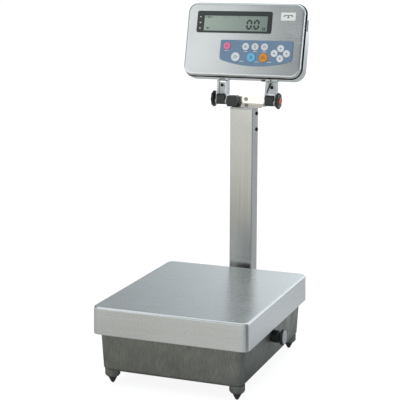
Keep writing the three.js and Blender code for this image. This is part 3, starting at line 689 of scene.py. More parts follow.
class BaseSettings(PropertyGroup):
    """Shape of the pan, the tub and the feet."""

    pan_corner: length("Pan corner", "Corner radius of the pan", 15 * MM)
    pan_bend: length("Pan bend", "Radius of the fold round the pan", 4.5 * MM)
    pan_wall: length("Pan sheet", "Thickness of the pan", 1.5 * MM)
    pan_flare: length("Pan flare", "How far the skirt leans out", 0.8 * MM)
    tub_corner: length("Tub corner", "Corner radius of the tub", 20 * MM)
    tub_bend: length("Tub bend", "Radius of the tub's lower edge", 8 * MM)
    tub_wall: length("Tub sheet", "Thickness of the tub", 2 * MM)
    tub_draft: angle("Tub draft", "How far the tub walls lean", 3.4)
    collar: length("Collar radius", "Radius of the foot collars", 15.5 * MM)
    collar_height: length("Collar height", "Height of the foot collars", 15 * MM)
    bore: length("Collar bore", "Radius of the bore for a foot's stud", 5.4 * MM)
    stud: length("Stud radius", "Radius of a foot's stud", 5 * MM)
    thread: length("Thread depth", "Depth of a foot's thread", 0.55 * MM)
    pitch: length("Thread pitch", "Pitch of a foot's thread", 1.25 * MM)


class ColumnSettings(PropertyGroup):
    """Shape of the column and of the folded parts on it."""

    corner: length("Column corner", "Corner radius of the column", 3 * MM)
    wall: length("Column wall", "Wall of the column", 2 * MM)
    fold: length("Sheet edge", "Rounding of the folded sheet parts", 0.35 * MM)
    moulded_edge: length("Block edge", "Rounding of the moulded blocks", 1.0 * MM)


class HeadSettings(PropertyGroup):
    """Shape of the indicator head."""

    corner: length("Panel corner", "Corner radius of the front panel", 22 * MM)
    edge: length("Panel edge", "Radius of the front panel's rim", 5 * MM)
    rear_corner: length("Case corner", "Corner radius of the rear case", 25 * MM)
    rear_bend: length("Case bend", "Radius round the back of the rear case", 12.2 * MM)
    wall: length("Sheet", "Thickness of the head's shells", 2 * MM)
    gasket_width: length("Gasket width", "Width of the gasket", 5 * MM)
    keypad_corner: length("Keypad corner", "Corner radius of the keypad", 5 * MM)
    keypad_bow: length("Keypad bow", "How far the keypad's lower edge bows", 14.2 * MM)
    digit_height: length("Digit height", "Height of the display's digits", 22.5 * MM)
    digit_width: length("Digit width", "Width of the display's digits", 13.6 * MM)
    digit_line: length("Digit line", "Width of the strokes of the digits", 4.3 * MM)
    digit_slant: angle("Digit slant", "Lean of the display's digits", 4.0)


class KnobSettings(PropertyGroup):
    """Shape of the knobs."""

    lobes: IntProperty(name="Lobes", description="Grips round a tilt knob", default=8, min=3)
    lobe_depth: length("Lobe depth", "Depth of the hollows between grips", 1.9 * MM)
    flutes: IntProperty(name="Flutes", description="Flutes round the lock knob", default=48,
                        min=8)


class StudioSettings(PropertyGroup):
    """Floor, light and camera."""

    floor: colour("Floor", "Plain floor", 0.2, 0.2, 0.2)
    floor_reach: length("Floor reach", "Half the width of the floor", 12.0)
    floor_glow: FloatProperty(name="Floor glow", description="Light that the floor gives off",
                              default=0.9, min=0.0)
    soft_box_power: FloatProperty(name="Soft box", description="Power of the soft box",
                                  default=3.6, unit="POWER")
    soft_box_place: FloatVectorProperty(name="Soft box place", subtype="TRANSLATION",
                                        description="Where the soft box stands",
                                        default=(-1.12, -1.5, 1.3))
    soft_box_aim: FloatVectorProperty(name="Soft box aim", subtype="TRANSLATION",
                                      description="What the soft box points at",
                                      default=(0.0, 0.2, 0.6))
    soft_box_width: length("Soft box width", "Width of the soft box", 0.9)
    soft_box_height: length("Soft box height", "Height of the soft box", 1.2)
    camera_place: FloatVectorProperty(name="Camera", description="Where the camera stands",
                                      default=(0.8485, -2.2535, 0.8288), subtype="TRANSLATION")
    camera_yaw: angle("Camera yaw", "Turn of the camera to the left", 21.43)
    camera_pitch: angle("Camera pitch", "Tilt of the camera downwards", 11.31)
    lens: FloatProperty(name="Lens", description="Focal length in millimetres",
                        default=105.02, min=10.0)


SETTINGS = {
    "finish": FinishSettings, "base": BaseSettings, "column": ColumnSettings,
    "head": HeadSettings, "knob": KnobSettings, "studio": StudioSettings,
}


def given(name):
    """One group of settings of the scene."""
    return getattr(bpy.context.scene, f"bench_scale_{name}")


def seat(piece, slot, body, *stands_for):
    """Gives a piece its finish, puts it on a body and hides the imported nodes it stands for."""
    piece.data.materials.clear()
    piece.data.materials.append(bpy.data.materials[f"{slot}_finish"])
    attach(piece, body)
    if stands_for:
        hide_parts(*stands_for)
    return piece


def seat_for(piece, slot, node):
    """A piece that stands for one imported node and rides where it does."""
    return seat(piece, slot, BODY_OF[node], node)


def around_box(node, corner, profile, placing=UPRIGHT, grow=0.0, steps=10):
    """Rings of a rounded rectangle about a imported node's box, made larger by a length."""
    low, high = placing.box(node)
    half = (high - low) / 2 + grow
    return rectangle_rings(half[0], half[1], corner, profile, middle(low, high)[:2], steps)


class Step:
    """What the operators share: each one makes its pieces and is then done."""

    def execute(self, context):
        self.make()
        return {"FINISHED"}


# ---------------------------------------------------------------- finishes


class BENCH_SCALE_OT_finishes(Step, Operator):
    """Makes the finish of every material slot"""

    bl_idname = "bench_scale.finishes"
    bl_label = "Finishes"

    def make(self):
        tone = given("finish")
        steel("pan_steel", tone.pan_steel, 0.25, streak=0.04, patch=0.03)
        # The tub's colour is partly painted shade for the shade under the pan's overhang.
        steel("tub_steel", tone.tub_steel, 0.3, front=(420, 420, 70), side=(420, 420, 70),
              cloud=26.0, streak=0.2, patch=0.25, depth=0.003 * MM, wear=0.35, smudge=0.1)
        steel("column_steel", tone.column_steel, 0.2, front=(700, 700, 4),
              side=(700, 700, 4), cloud=7.0, streak=0.06, patch=0.06)
        steel("head_steel", tone.head_steel, 0.22, streak=0.02, patch=0.03, depth=0.0003 * MM)
        steel("polished_steel", tone.polished_steel, 0.14, streak=0.03, patch=0.04,
              depth=0.0002 * MM)
        steel("cast_aluminium", tone.cast_aluminium, 0.42, front=(500, 500, 500),
              side=(500, 500, 500), cloud=40.0, streak=0.1, patch=0.1, depth=0.004 * MM)
        steel("black_screw", tone.black_screw, 0.36, front=(900, 900, 900),
              side=(900, 900, 900), cloud=90.0, wear=0.25)
        moulded("black_plastic", tone.black_plastic, 0.42)
        moulded("black_rubber", tone.black_rubber, 0.74, skin=1400.0, depth=0.05 * MM)
        moulded("orange_plastic", tone.orange_plastic, 0.4, mottle=0.06)
        for name in ("orange_key", "blue_key", "pink_key", "white_key"):
            moulded(name, getattr(tone, name), 0.34, skin=2600.0, depth=0.008 * MM,
                    wear=0.2, mottle=0.04)
        moulded("slate_panel", tone.slate_panel, 0.42, skin=3200.0, depth=0.012 * MM,
                wear=0.3, mottle=0.06)
        moulded("display_lens", tone.display_lens, 0.3, skin=2400.0, depth=0.003 * MM,
                wear=0.25, mottle=0.1, Coat_Weight=0.25, Coat_Roughness=0.12)
        moulded("white_label", tone.white_label, 0.45, skin=2200.0, depth=0.01 * MM,
                wear=0.1, mottle=0.03)
        moulded("brown_plug", tone.brown_plug, 0.55)
        circuit_board_finish("circuit_board", tone.circuit_board)
        liquid_crystal_finish("liquid_crystal", tone.lcd_unshaded_left, tone.liquid_crystal)


# ---------------------------------------------------------------- base


def rim(centre_offset, level, wall, start, end):
    """Half-round edge of a sheet, about the middle of its thickness."""
    return arc((centre_offset, level), wall / 2, start, end, 4)


class BENCH_SCALE_OT_pan(Step, Operator):
    """Makes the weighing pan: one folded sheet with a deep skirt"""

    bl_idname = "bench_scale.pan"
    bl_label = "Weighing pan"

    def make(self):
        base = given("base")
        low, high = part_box("weighing_pan")
        bend, wall, flare = base.pan_bend, base.pan_wall, base.pan_flare
        turn = (-bend, high.z - bend)
        inward = -bend - SUPPORT
        profile = held(
            (inward, high.z), arc(turn, bend, 90, 0, 10),
            rim(flare - wall / 2, low.z + wall / 2, wall, 0, -180),
            arc(turn, bend - wall, 0, 90, 6), (inward, high.z - wall))
        rings = around_box("weighing_pan", base.pan_corner, profile, grow=-flare, steps=14)
        seat_for(loft("weighing_pan_shell", rings), "pan_steel", "weighing_pan")


class BENCH_SCALE_OT_tub(Step, Operator):
    """Makes the base tub and the collars that its feet screw into"""

    bl_idname = "bench_scale.tub"
    bl_label = "Base tub"

    def make(self):
        base = given("base")
        low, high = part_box("base_tub")
        bend, wall = base.tub_bend, base.tub_wall
        floor = low.z + base.collar_height
        lean = math.tan(base.tub_draft)
        foot_offset = -(high.z - floor - bend) * lean
        turn = (foot_offset - bend, floor + bend)
        inward = foot_offset - bend - SUPPORT
        profile = held(
            (inward, floor), arc(turn, bend, -90, 0, 10),
            rim(-wall / 2, high.z - wall / 2, wall, 0, 180),
            arc(turn, bend - wall, 0, -90, 6), (inward, floor + wall))
        rings = around_box("base_tub", base.tub_corner, profile, steps=14)
        seat_for(loft("base_tub_shell", rings), "tub_steel", "base_tub")
        for name in CORNERS:
            centre = middle(*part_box(f"foot_{name}"))
            radius, edge = base.collar, 1.2 * MM
            sleeve = held(
                (base.bore, low.z), (radius - 2.5 * MM - edge, low.z),
                arc((radius - 2.5 * MM - edge, low.z + edge), edge, -90, -30, 4),
                (radius, low.z + 4 * MM), (radius, floor + 0.6 * wall),
                (base.bore, floor + 0.6 * wall))
            rings = turned_rings(sleeve, 56)
            collar = loft(f"foot_collar_{name}", rings, UPRIGHT.moved(centre[0], centre[1]), True)
            seat(collar, "tub_steel", "base")


class BENCH_SCALE_OT_feet(Step, Operator):
    """Makes the four threaded levelling feet"""

    bl_idname = "bench_scale.feet"
    bl_label = "Levelling feet"

    def make(self):
        base = given("base")
        for name in CORNERS:
            node = f"foot_{name}"
            low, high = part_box(node)
            radius = (high.x - low.x) / 2
            shoulder = base.collar_height - 0.3 * MM
            height = np.arange(shoulder + base.pitch, high.z - base.pitch, base.pitch / 2)
            stud = base.stud - base.thread * (np.arange(len(height)) % 2)
            profile = np.concatenate([
                held((0.3 * MM, 0.0), arc((1.4 * MM, 0.8 * MM), 0.8 * MM, -90, -30, 4),
                     (4.3 * MM, 3.0 * MM), (radius - 0.7 * MM, shoulder - 2.6 * MM),
                     arc((radius - 0.6 * MM, shoulder - 0.6 * MM), 0.6 * MM, -20, 90, 5),
                     (base.stud, shoulder)),
                np.column_stack([stud, height]),
                [(4.4 * MM, high.z - base.pitch), (3.8 * MM, high.z), (0.3 * MM, high.z)],
            ])
            centre = middle(low, high)
            foot = turned(node.replace("foot", "levelling_foot"), profile,
                          UPRIGHT.moved(centre[0], centre[1]))
            seat_for(foot, "black_plastic", node)


class BENCH_SCALE_OT_buffers(Step, Operator):
    """Makes the four rubber buffers that the pan rests on"""

    bl_idname = "bench_scale.buffers"
    bl_label = "Pan buffers"

    def make(self):
        for name in CORNERS:
            node = f"pan_buffer_{name}"
            low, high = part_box(node)
            radius = (high.x - low.x) / 2
            edge = 1.6 * MM
            waist = middle(low, high)[2]
            profile = held(
                (0.3 * MM, low.z), (radius - edge, low.z),
                arc((radius - edge, low.z + edge), edge, -90, 0, 5),
                (radius - 1.0 * MM, waist), arc((radius - edge, high.z - edge), edge, 0, 90, 5),
                (0.3 * MM, high.z))
            centre = middle(low, high)
            piece = turned(f"rubber_{node}", profile, UPRIGHT.moved(centre[0], centre[1]))
            seat_for(piece, "black_rubber", node)


class BENCH_SCALE_OT_inner_works(Step, Operator):
    """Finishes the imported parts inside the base, the column and the head"""

    bl_idname = "bench_scale.inner_works"
    bl_label = "Inner works"

    parts = {
        "base_deck": "tub_steel", "load_cell": "cast_aluminium",
        "load_frame": "cast_aluminium", "lock_bush": "cast_aluminium",
        "lock_plunger": "cast_aluminium", "lock_shaft": "cast_aluminium",
        "pivot_rod": "cast_aluminium", "main_board": "circuit_board",
    }

    def make(self):
        for node, slot in self.parts.items():
            packed = frame["nodes"][node]
            packed.data.materials.clear()
            packed.data.materials.append(bpy.data.materials[f"{slot}_finish"])


# ---------------------------------------------------------------- transport lock


class BENCH_SCALE_OT_lock_knob(Step, Operator):
    """Makes the transport lock's knob and its bright face with two pin holes"""

    bl_idname = "bench_scale.lock_knob"
    bl_label = "Transport lock knob"
    # Makes the transport lock's knob and its bright face with two pin holes, whose bottoms hold black discs as
    # painted shade

    def make(self):
        low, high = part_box("transport_knob")
        placing = along_x("transport_knob")
        start, end = low.x, high.x
        radius = (high.z - low.z) / 2
        body, neck, bore = 0.81 * radius, 0.69 * radius, 0.33 * radius
        socket = end - 7.7 * MM
        profile = held(
            (0.3 * MM, socket), (bore, socket), (bore, start), (body - 0.8 * MM, start),
            arc((body - 0.8 * MM, start + 0.8 * MM), 0.8 * MM, -60, 0, 4),
            (body, end - 11 * MM), (neck, end - 9 * MM), (neck, end - 7.5 * MM),
            (radius - 1.2 * MM, end - 6 * MM),
            arc((radius - 1.2 * MM, end - 4.6 * MM), 1.2 * MM, -40, 0, 4),
            arc((radius - 0.8 * MM, end - 0.8 * MM), 0.8 * MM, 0, 90, 5), (0.3 * MM, end))
        flutes = given("knob").flutes
        around = 4 * flutes
        ripple = 1 - np.cos(flutes * np.arange(around) * 2 * np.pi / around)
        relief = np.where(profile[:, :1] > radius - 0.5 * MM, -0.2 * MM * ripple, 0.0)
        knob = turned("transport_knob_grip", profile, placing, around, relief)
        seat_for(knob, "black_plastic", "transport_knob")
        low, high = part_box("transport_knob_face")
        radius, hole, depth, spread = (high.z - low.z) / 2, 1.5 * MM, 0.8 * MM, 5 * MM
        reach = np.concatenate([[radius], np.linspace(radius - 0.4 * MM, 0.4 * MM, 64)])
        rings = turned_rings(np.column_stack([reach, np.full(len(reach), high.x)]), 96)
        gap = np.minimum(*[np.hypot(rings[..., 0], rings[..., 1] - sign * spread)
                           for sign in (-1, 1)])
        rings[..., 2] -= depth * np.clip((hole - gap) / (0.4 * MM) + 0.5, 0, 1)
        rings[0, :, 2] -= 0.4 * MM
        rings = np.concatenate([rings[:1] * (1, 1, 0) + (0, 0, low.x), rings])
        face = loft("transport_knob_disc", rings, placing)
        seat_for(face, "cast_aluminium", "transport_knob_face")
        # Black discs at the bottom of the two pin holes: painted shade in the holes.
        shapes = [regular(0, sign * spread, hole, 20) for sign in (-1, 1)]
        painted_shade = inlay("transport_knob_hole_painted_shade", shapes, high.x - depth, high.x - 0.5 * depth,
                      placing)
        seat(painted_shade, "black_plastic", "transport_knob")


def hexagon_relief(profile, radius, first, last, around=72):
    """Relief that turns the rings from `first` to `last` of a profile into hexagons whose corners
    lie on the circle: radius x cos 30 / cos(angle from the nearest flat)."""
    sector = np.pi / 3
    turn = (np.arange(around) * 2 * np.pi / around) % sector - sector / 2
    flat = radius * math.cos(sector / 2) / np.cos(turn) - radius
    inside = (profile[:, 1] >= first) & (profile[:, 1] <= last)
    wide = np.isclose(profile[:, 0], radius, atol=0.1 * MM)
    return np.where((inside & wide)[:, None], flat, 0.0)


class BENCH_SCALE_OT_glands(Step, Operator):
    """Makes the cable glands of the base and of the head"""

    bl_idname = "bench_scale.glands"
    bl_label = "Cable glands"

    def make(self):
        low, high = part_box("base_gland")
        centre = middle(low, high)
        backward = Placing((centre[0], 0, centre[2]), (0, 0, 1), (1, 0, 0))
        self.gland("base_gland", backward, low.y, high.y, (high.x - low.x) / 2, 10.9 * MM)
        low, high = HEAD.box("head_gland")
        centre = middle(low, high)
        backward = Placing(HEAD.out((centre[0], centre[1], 0)), -HEAD.axes[0], HEAD.axes[1])
        self.gland("head_gland", backward, -high[2], -low[2], (high[0] - low[0]) / 2,
                   10.1 * MM)

    def gland(self, node, placing, start, end, radius, proud):
        """A hollow gland: threaded tail, hexagon nut and a tapered clamping cap with ribs."""
        tail, bore = 0.7 * radius, 0.34 * radius
        nut, cap = end - proud, end - 0.55 * proud
        profile = held(
            (bore, start), (tail - 0.5 * MM, start), (tail, start + 0.5 * MM), (tail, nut),
            (radius, nut), (radius, cap), (0.88 * radius, cap + 0.4 * MM),
            (0.86 * radius, end - 2.2 * MM),
            arc((0.66 * radius, end - 2.2 * MM), 0.2 * radius, 0, 70, 5),
            (0.45 * radius, end), (bore, end - 0.6 * MM))
        around = 72
        relief = hexagon_relief(profile, radius, nut, cap, around)
        ribbed = (profile[:, 1] > cap + 0.3 * MM) & (profile[:, 1] < end - 2 * MM)
        ripple = np.cos(18 * np.arange(around) * 2 * np.pi / around) - 1
        relief = relief + np.where(ribbed[:, None], 0.15 * MM * ripple, 0.0)
        piece = loft(f"{node}_nut", turned_rings(profile, around, relief), placing, True)
        seat_for(piece, "black_plastic", node)


# ---------------------------------------------------------------- column


class BENCH_SCALE_OT_column(Step, Operator):
    """Makes the square column tube"""

    bl_idname = "bench_scale.column"
    bl_label = "Column"

    def make(self):
        column = given("column")
        low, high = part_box("column_tube")
        edge = 0.3 * MM
        wall = column.wall
        profile = held(
            (-edge, low.z), (0.0, low.z + edge), (0.0, high.z - edge), (-edge, high.z),
            (edge - wall, high.z), (-wall, high.z - edge), (-wall, low.z + edge),
            (edge - wall, low.z))
        rings = around_box("column_tube", column.corner, profile, steps=8)
        seat_for(loft("column_tube_shell", rings, UPRIGHT, True), "column_steel", "column_tube")


class BENCH_SCALE_OT_sheet_parts(Step, Operator):
    """Rounds the edges of the folded sheet parts and of the moulded blocks"""

    bl_idname = "bench_scale.sheet_parts"
    bl_label = "Folded and moulded parts"

    folded = {
        "column_socket": "tub_steel", "column_tongue": "cast_aluminium",
        "cross_channel": "polished_steel", "tilt_stop_arm": "cast_aluminium",
        "yoke": "head_steel",
    }
    blocks = {
        "cable_entry_block": "black_plastic", "friction_block_left": "black_plastic",
        "friction_block_right": "black_plastic",
    }

    def make(self):
        column = given("column")
        for node, slot in self.folded.items():
            seat_for(softened(node, column.fold), slot, node)
        for node, slot in self.blocks.items():
            seat_for(softened(node, column.moulded_edge), slot, node)
        seat_for(softened("side_cover", 0.5 * MM), "black_plastic", "side_cover")


def screw(name, placing, shank, start, head, low, high, cross=False):
    """A screw with a domed head, whose height falls off as a parabola. Its recess is a hexagon,
    or a cross whose radius follows the eighth power of the cosine of twice the angle."""
    around = 48
    turn = np.arange(around) * 2 * np.pi / around
    rise = high - low
    dome = np.array((1.0, 0.97, 0.9, 0.8, 0.68))
    profile = np.concatenate([
        [(shank, start), (shank, low), (head, low), (head, low + 0.35 * rise)],
        np.column_stack([head * dome, high - 0.6 * rise * (dome - 0.68) / 0.32])])
    if cross:
        reach = 0.12 * head + 0.5 * head * np.cos(2 * turn) ** 8
    else:
        sector = np.pi / 3
        reach = 0.46 * head / np.cos(turn % sector - sector / 2) * math.cos(sector / 2)
    depths = np.array((high, high - 0.15 * rise, high - 0.7 * rise))
    widths = np.array((1.04, 1.0, 0.9))
    recess = np.stack([
        widths[:, None] * reach * np.cos(turn), widths[:, None] * reach * np.sin(turn),
        np.broadcast_to(depths[:, None], (3, around))], axis=2)
    rings = np.concatenate([turned_rings(profile, around), recess])
    return loft(name, rings, placing)


class BENCH_SCALE_OT_screws(Step, Operator):
    """Makes the visible screws of the column, the channel, the yoke and the rear case"""

    bl_idname = "bench_scale.screws"
    bl_label = "Screws"

    def make(self):
        for name in ("column_screw_upper", "column_screw_lower"):
            low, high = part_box(name)
            piece = screw(f"{name}_head", along_x(name), 2.5 * MM, low.x,
                          (high.z - low.z) / 2, high.x - 2.4 * MM, high.x)
            seat_for(piece, "black_screw", name)
        low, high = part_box("channel_screw")
        centre = middle(low, high)
        forward = Placing((centre[0], 0, centre[2]), (1, 0, 0), (0, 0, 1))
        piece = screw("channel_screw_head", forward, 2 * MM, -high.y, (high.x - low.x) / 2,
                      -low.y - 2 * MM, -low.y, True)
        seat_for(piece, "cast_aluminium", "channel_screw")
        front = Placing((0, 0, 0), (1, 0, 0), (0, 0, 1))
        self.clamped_plate("stop_screw", front, 8.2 * MM, -6 * MM, 4.8 * MM)
        self.clamped_plate("yoke_screw", HEAD, 12.8 * MM, 12 * MM, 2.8 * MM)
        self.rear_screws()

    def clamped_plate(self, node, placing, across, up, depth):
        """A small cross-head screw and the dark plate that it clamps. The screw is across from
        the plate's left edge and up from its lower edge, or below its top edge if negative."""
        low, high = placing.box(node)
        level = low[1] + up if up > 0 else high[1] + up
        place = placing.moved(low[0] + across, level)
        piece = screw(f"{node}_head", place, 2 * MM, low[2], 3.6 * MM, high[2] - 1.9 * MM,
                      high[2], True)
        seat_for(piece, "black_screw", node)
        back, front, edge = high[2] - depth - 1.3 * MM, high[2] - depth, 0.3 * MM
        profile = held((-edge, back), (0.0, back + edge), (0.0, front - edge), (-edge, front))
        rings = around_box(node, 1.5 * MM, profile, placing, steps=4)
        seat_for(loft(f"{node}_plate", rings, placing), "black_screw", node)

    def rear_screws(self):
        """Four screws that hold the yoke and six that close the rear case."""
        case_low, case_high = HEAD.box("rear_case")
        yoke_low, yoke_high = HEAD.box("yoke")
        back = Placing(HEAD.origin, -HEAD.axes[0], HEAD.axes[1])
        plate = -(yoke_high[2] - 2.5 * MM)
        spots = {}
        for side, sign in SIDES.items():
            for level, up in (("upper", yoke_high[1] - 9 * MM), ("lower", yoke_high[1] - 32 * MM)):
                spots[f"yoke_fixing_{side}_{level}"] = (
                    -sign * (yoke_high[0] - 12 * MM), up, plate, 3.4 * MM, 2.2 * MM)
        middle_up = (case_low[1] + case_high[1]) / 2
        for side, sign in SIDES.items():
            for level, up in (("upper", case_high[1] - 34 * MM), ("middle", middle_up),
                              ("lower", case_low[1] + 21 * MM)):
                spots[f"case_screw_{side}_{level}"] = (
                    -sign * (case_high[0] - 21 * MM), up, -case_low[2], 3.0 * MM, 1.4 * MM)
        for name, (u, v, surface, radius, rise) in spots.items():
            piece = screw(name, back.moved(u, v), 0.5 * radius, surface - 2 * MM, radius,
                          surface + 0.05 * MM, surface + rise, name.startswith("case"))
            seat(piece, "cast_aluminium", "head")


# ---------------------------------------------------------------- tilt knobs


class BENCH_SCALE_OT_tilt_knobs(Step, Operator):
    """Makes the two lobed tilt knobs and their orange caps"""

    bl_idname = "bench_scale.tilt_knobs"
    bl_label = "Tilt knobs"

    def make(self):
        knob = given("knob")
        for side, sign in SIDES.items():
            node = f"tilt_knob_{side}"
            low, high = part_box(node)
            start, end = sorted((sign * low.x, sign * high.x))
            radius = (high.z - low.z) / 2
            bore = 0.302 * radius
            around = 16 * knob.lobes
            hollow = (0.5 - 0.5 * np.cos(knob.lobes * np.arange(around) * 2 * np.pi / around)) ** 3
            profile = held(
                (0.3 * MM, start + 6 * MM), (bore, start + 6 * MM), (bore, start),
                (11 * MM, start), (11.5 * MM, start + 0.5 * MM), (11.5 * MM, start + 1.8 * MM),
                (radius - 2.2 * MM, start + 2.4 * MM),
                arc((radius - 1.8 * MM, start + 4.2 * MM), 1.8 * MM, -80, 0, 6),
                arc((radius - 1.8 * MM, end - 1.8 * MM), 1.8 * MM, 0, 85, 6),
                (radius - 4.5 * MM, end - 0.1 * MM), (9.2 * MM, end - 0.5 * MM),
                (8.6 * MM, end - 1.0 * MM), (0.3 * MM, end - 1.0 * MM))
            share = np.clip((profile[:, :1] - 12 * MM) / (radius - 15 * MM), 0, 1)
            grip = turned(f"{node}_grip", profile, along_x(node, sign), around,
                          -knob.lobe_depth * share * hollow)
            seat_for(grip, "black_plastic", node)
            cap_node = f"tilt_knob_cap_{side}"
            low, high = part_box(cap_node)
            start, end = sorted((sign * low.x, sign * high.x))
            radius = (high.z - low.z) / 2
            edge = 0.5 * MM
            profile = held(
                (0.3 * MM, start - 1.2 * MM), (radius, start - 1.2 * MM),
                (radius, end - edge), arc((radius - edge, end - edge), edge, 0, 90, 5),
                (radius - 1.4 * MM, end), (radius - 1.7 * MM, end - 0.25 * MM),
                (0.3 * MM, end - 0.25 * MM))
            cap = turned(f"{cap_node}_disc", profile, along_x(cap_node, sign))
            seat_for(cap, "orange_plastic", cap_node)


# ---------------------------------------------------------------- indicator head


class BENCH_SCALE_OT_front_panel(Step, Operator):
    """Makes the head's front panel, with its opening for the display"""

    bl_idname = "bench_scale.front_panel"
    bl_label = "Front panel"

    def make(self):
        head = given("head")
        low, high = HEAD.box("front_panel")
        back, front = low[2], high[2]
        edge, wall = head.edge, head.wall
        turn = (-edge, front - edge)
        inward = -edge - SUPPORT
        skin = held((0.2 * MM - wall, back), (-0.2 * MM, back), (0.0, back + 0.2 * MM),
                    arc(turn, edge, 0, 90, 10), (inward, front))
        lining = held((inward, front - wall), arc(turn, edge - wall, 90, 0, 6),
                      (-wall, back + 0.2 * MM))
        window = [(SUPPORT, front), (0.0, front), (0.0, front - wall), (SUPPORT, front - wall)]
        rings = np.concatenate([
            around_box("front_panel", head.corner, skin, HEAD, steps=16),
            around_box("lcd_module", 3 * MM, window, HEAD, 1.9 * MM, 16),
            around_box("front_panel", head.corner, lining, HEAD, steps=16)])
        seat_for(loft("front_panel_shell", rings, HEAD, True), "head_steel", "front_panel")


class BENCH_SCALE_OT_rear_case(Step, Operator):
    """Makes the head's rear case and the gasket that seals it"""

    bl_idname = "bench_scale.rear_case"
    bl_label = "Rear case"

    def make(self):
        head = given("head")
        low, high = HEAD.box("rear_case")
        back, front = low[2], high[2]
        bend, wall = head.rear_bend, head.wall
        turn = (-bend, back + bend)
        inward = -bend - SUPPORT
        profile = held(
            (inward, back), arc(turn, bend, -90, 0, 12),
            rim(-wall / 2, front - wall / 2, wall, 0, 180),
            arc(turn, bend - wall, 0, -90, 8), (inward, back + wall))
        rings = around_box("rear_case", head.rear_corner, profile, HEAD, steps=16)
        seat_for(loft("rear_case_shell", rings, HEAD), "head_steel", "rear_case")
        low, high = HEAD.box("gasket")
        width, edge = head.gasket_width, 0.4 * MM
        profile = held(
            (-edge, low[2]), (0.0, low[2] + edge), (0.0, high[2] - edge), (-edge, high[2]),
            (edge - width, high[2]), (-width, high[2] - edge), (-width, low[2] + edge),
            (edge - width, low[2]))
        rings = around_box("gasket", head.corner - 2 * MM, profile, HEAD, steps=12)
        seat_for(loft("gasket_ring", rings, HEAD, True), "black_rubber", "gasket")


class BENCH_SCALE_OT_display(Step, Operator):
    """Makes the display: bezel, liquid crystal cell, digits and generic marks"""

    bl_idname = "bench_scale.display"
    bl_label = "Display"

    def make(self):
        low, high = HEAD.box("display_window")
        cell_low, cell_high = HEAD.box("lcd_module")
        back, front, edge = low[2], high[2], 0.35 * MM
        skin = held((-2 * MM, back), (0.0, back), arc((-edge, front - edge), edge, 0, 90, 4),
                    (-edge - SUPPORT, front))
        hole = [(0.9 * MM + SUPPORT, front), (0.9 * MM, front), (0.0, back + 0.4 * MM),
                (0.0, back), (1.5 * MM, back)]
        rings = np.concatenate([around_box("display_window", 4 * MM, skin, HEAD),
                                around_box("lcd_module", 1 * MM, hole, HEAD)])
        seat_for(loft("display_bezel", rings, HEAD, True), "display_lens", "display_window")
        face = back - 0.1 * MM
        plate = [(-SUPPORT, face - 5 * MM), (0.0, face - 5 * MM), (0.0, face), (-SUPPORT, face)]
        rings = around_box("lcd_module", 1 * MM, plate, HEAD, 1.2 * MM, 6)
        seat_for(loft("liquid_crystal_cell", rings, HEAD), "liquid_crystal", "lcd_module")
        self.digits(cell_low, cell_high, face)
        self.bezel_marks(low, cell_low, front)

    def digits(self, low, high, face):
        """Two noughts with a point between them, leaning right, and small status marks."""
        head = given("head")
        tall, wide, line = head.digit_height, head.digit_width, head.digit_line
        right, base = high[0] - 19 * MM, low[1] + 3.4 * MM
        pitch = wide + 3.2 * MM
        shapes = []
        for place in range(2):
            shapes += segment_digit(right - wide - place * pitch, base, wide, tall, line,
                                    0.35 * MM, "abcdef")
        shapes.append(bar(right - wide - 1.6 * MM, base + 1.1 * MM, 2.0 * MM, 2.2 * MM))
        lean = math.tan(head.digit_slant)
        leaning = [shape + np.stack([(shape[:, 1] - base) * lean, 0 * shape[:, 1]], axis=1)
                   for shape in shapes]
        unit = band(high[0] - 8.4 * MM, low[1] + 5.4 * MM, 2.3 * MM, 1.4 * MM, 20, 340)
        top = high[1] - 3.4 * MM
        marks = [unit, bar(high[0] - 5.0 * MM, low[1] + 5.4 * MM, 1.4 * MM, 6.4 * MM)]
        marks += [regular(low[0] + 4.6 * MM, top, 2.1 * MM, 3, -30),
                  regular(low[0] + 17.6 * MM, top, 2.1 * MM, 3, 30)]
        marks += frame_bars(low[0] + 11 * MM, top, 5.4 * MM, 4.0 * MM, 1.2 * MM)
        marks += [regular(low[0] + reach * MM, top, 1.5 * MM, 3, -90) for reach in (46, 55, 82)]
        marks += [regular(low[0] + 8.4 * MM, low[1] + 5.8 * MM, 2.5 * MM, 4, 0),
                  bar(low[0] + 12.6 * MM, low[1] + 5.8 * MM, 3.0 * MM, 1.8 * MM)]
        piece = inlay("display_digits", leaning + marks, face - 0.02 * MM, face + 0.06 * MM, HEAD)
        seat(piece, "display_lens", "head")

    def bezel_marks(self, low, cell_low, front):
        """Three pale marks on the left of the bezel."""
        u = (low[0] + cell_low[0]) / 2
        v = cell_low[1]
        shapes = [bar(u, v + 30.5 * MM, 3.6 * MM, 1.3 * MM),
                  *frame_bars(u, v + 17.5 * MM, 3.6 * MM, 2.6 * MM, 0.8 * MM),
                  band(u, v + 4.8 * MM, 1.3 * MM, 0.8 * MM)]
        marks = inlay("bezel_marks", shapes, front - 0.02 * MM, front + 0.05 * MM, HEAD)
        seat(marks, "white_label", "head")


KEYS = ("power", "zero", "unit", "print", "memory", "function", "tare",
        "up", "left", "right", "down")
KEY_COLOURS = {"power": "pink_key", "function": "blue_key", "tare": "orange_key"}


def curve(start, pull, end, steps=8):
    """Quadratic curve: (1-t)^2 start + 2t(1-t) pull + t^2 end, without its last point."""
    t = np.linspace(0, 1, steps, endpoint=False)[:, None]
    return (1 - t) ** 2 * np.array(start) + 2 * t * (1 - t) * np.array(pull) + t**2 * np.array(end)


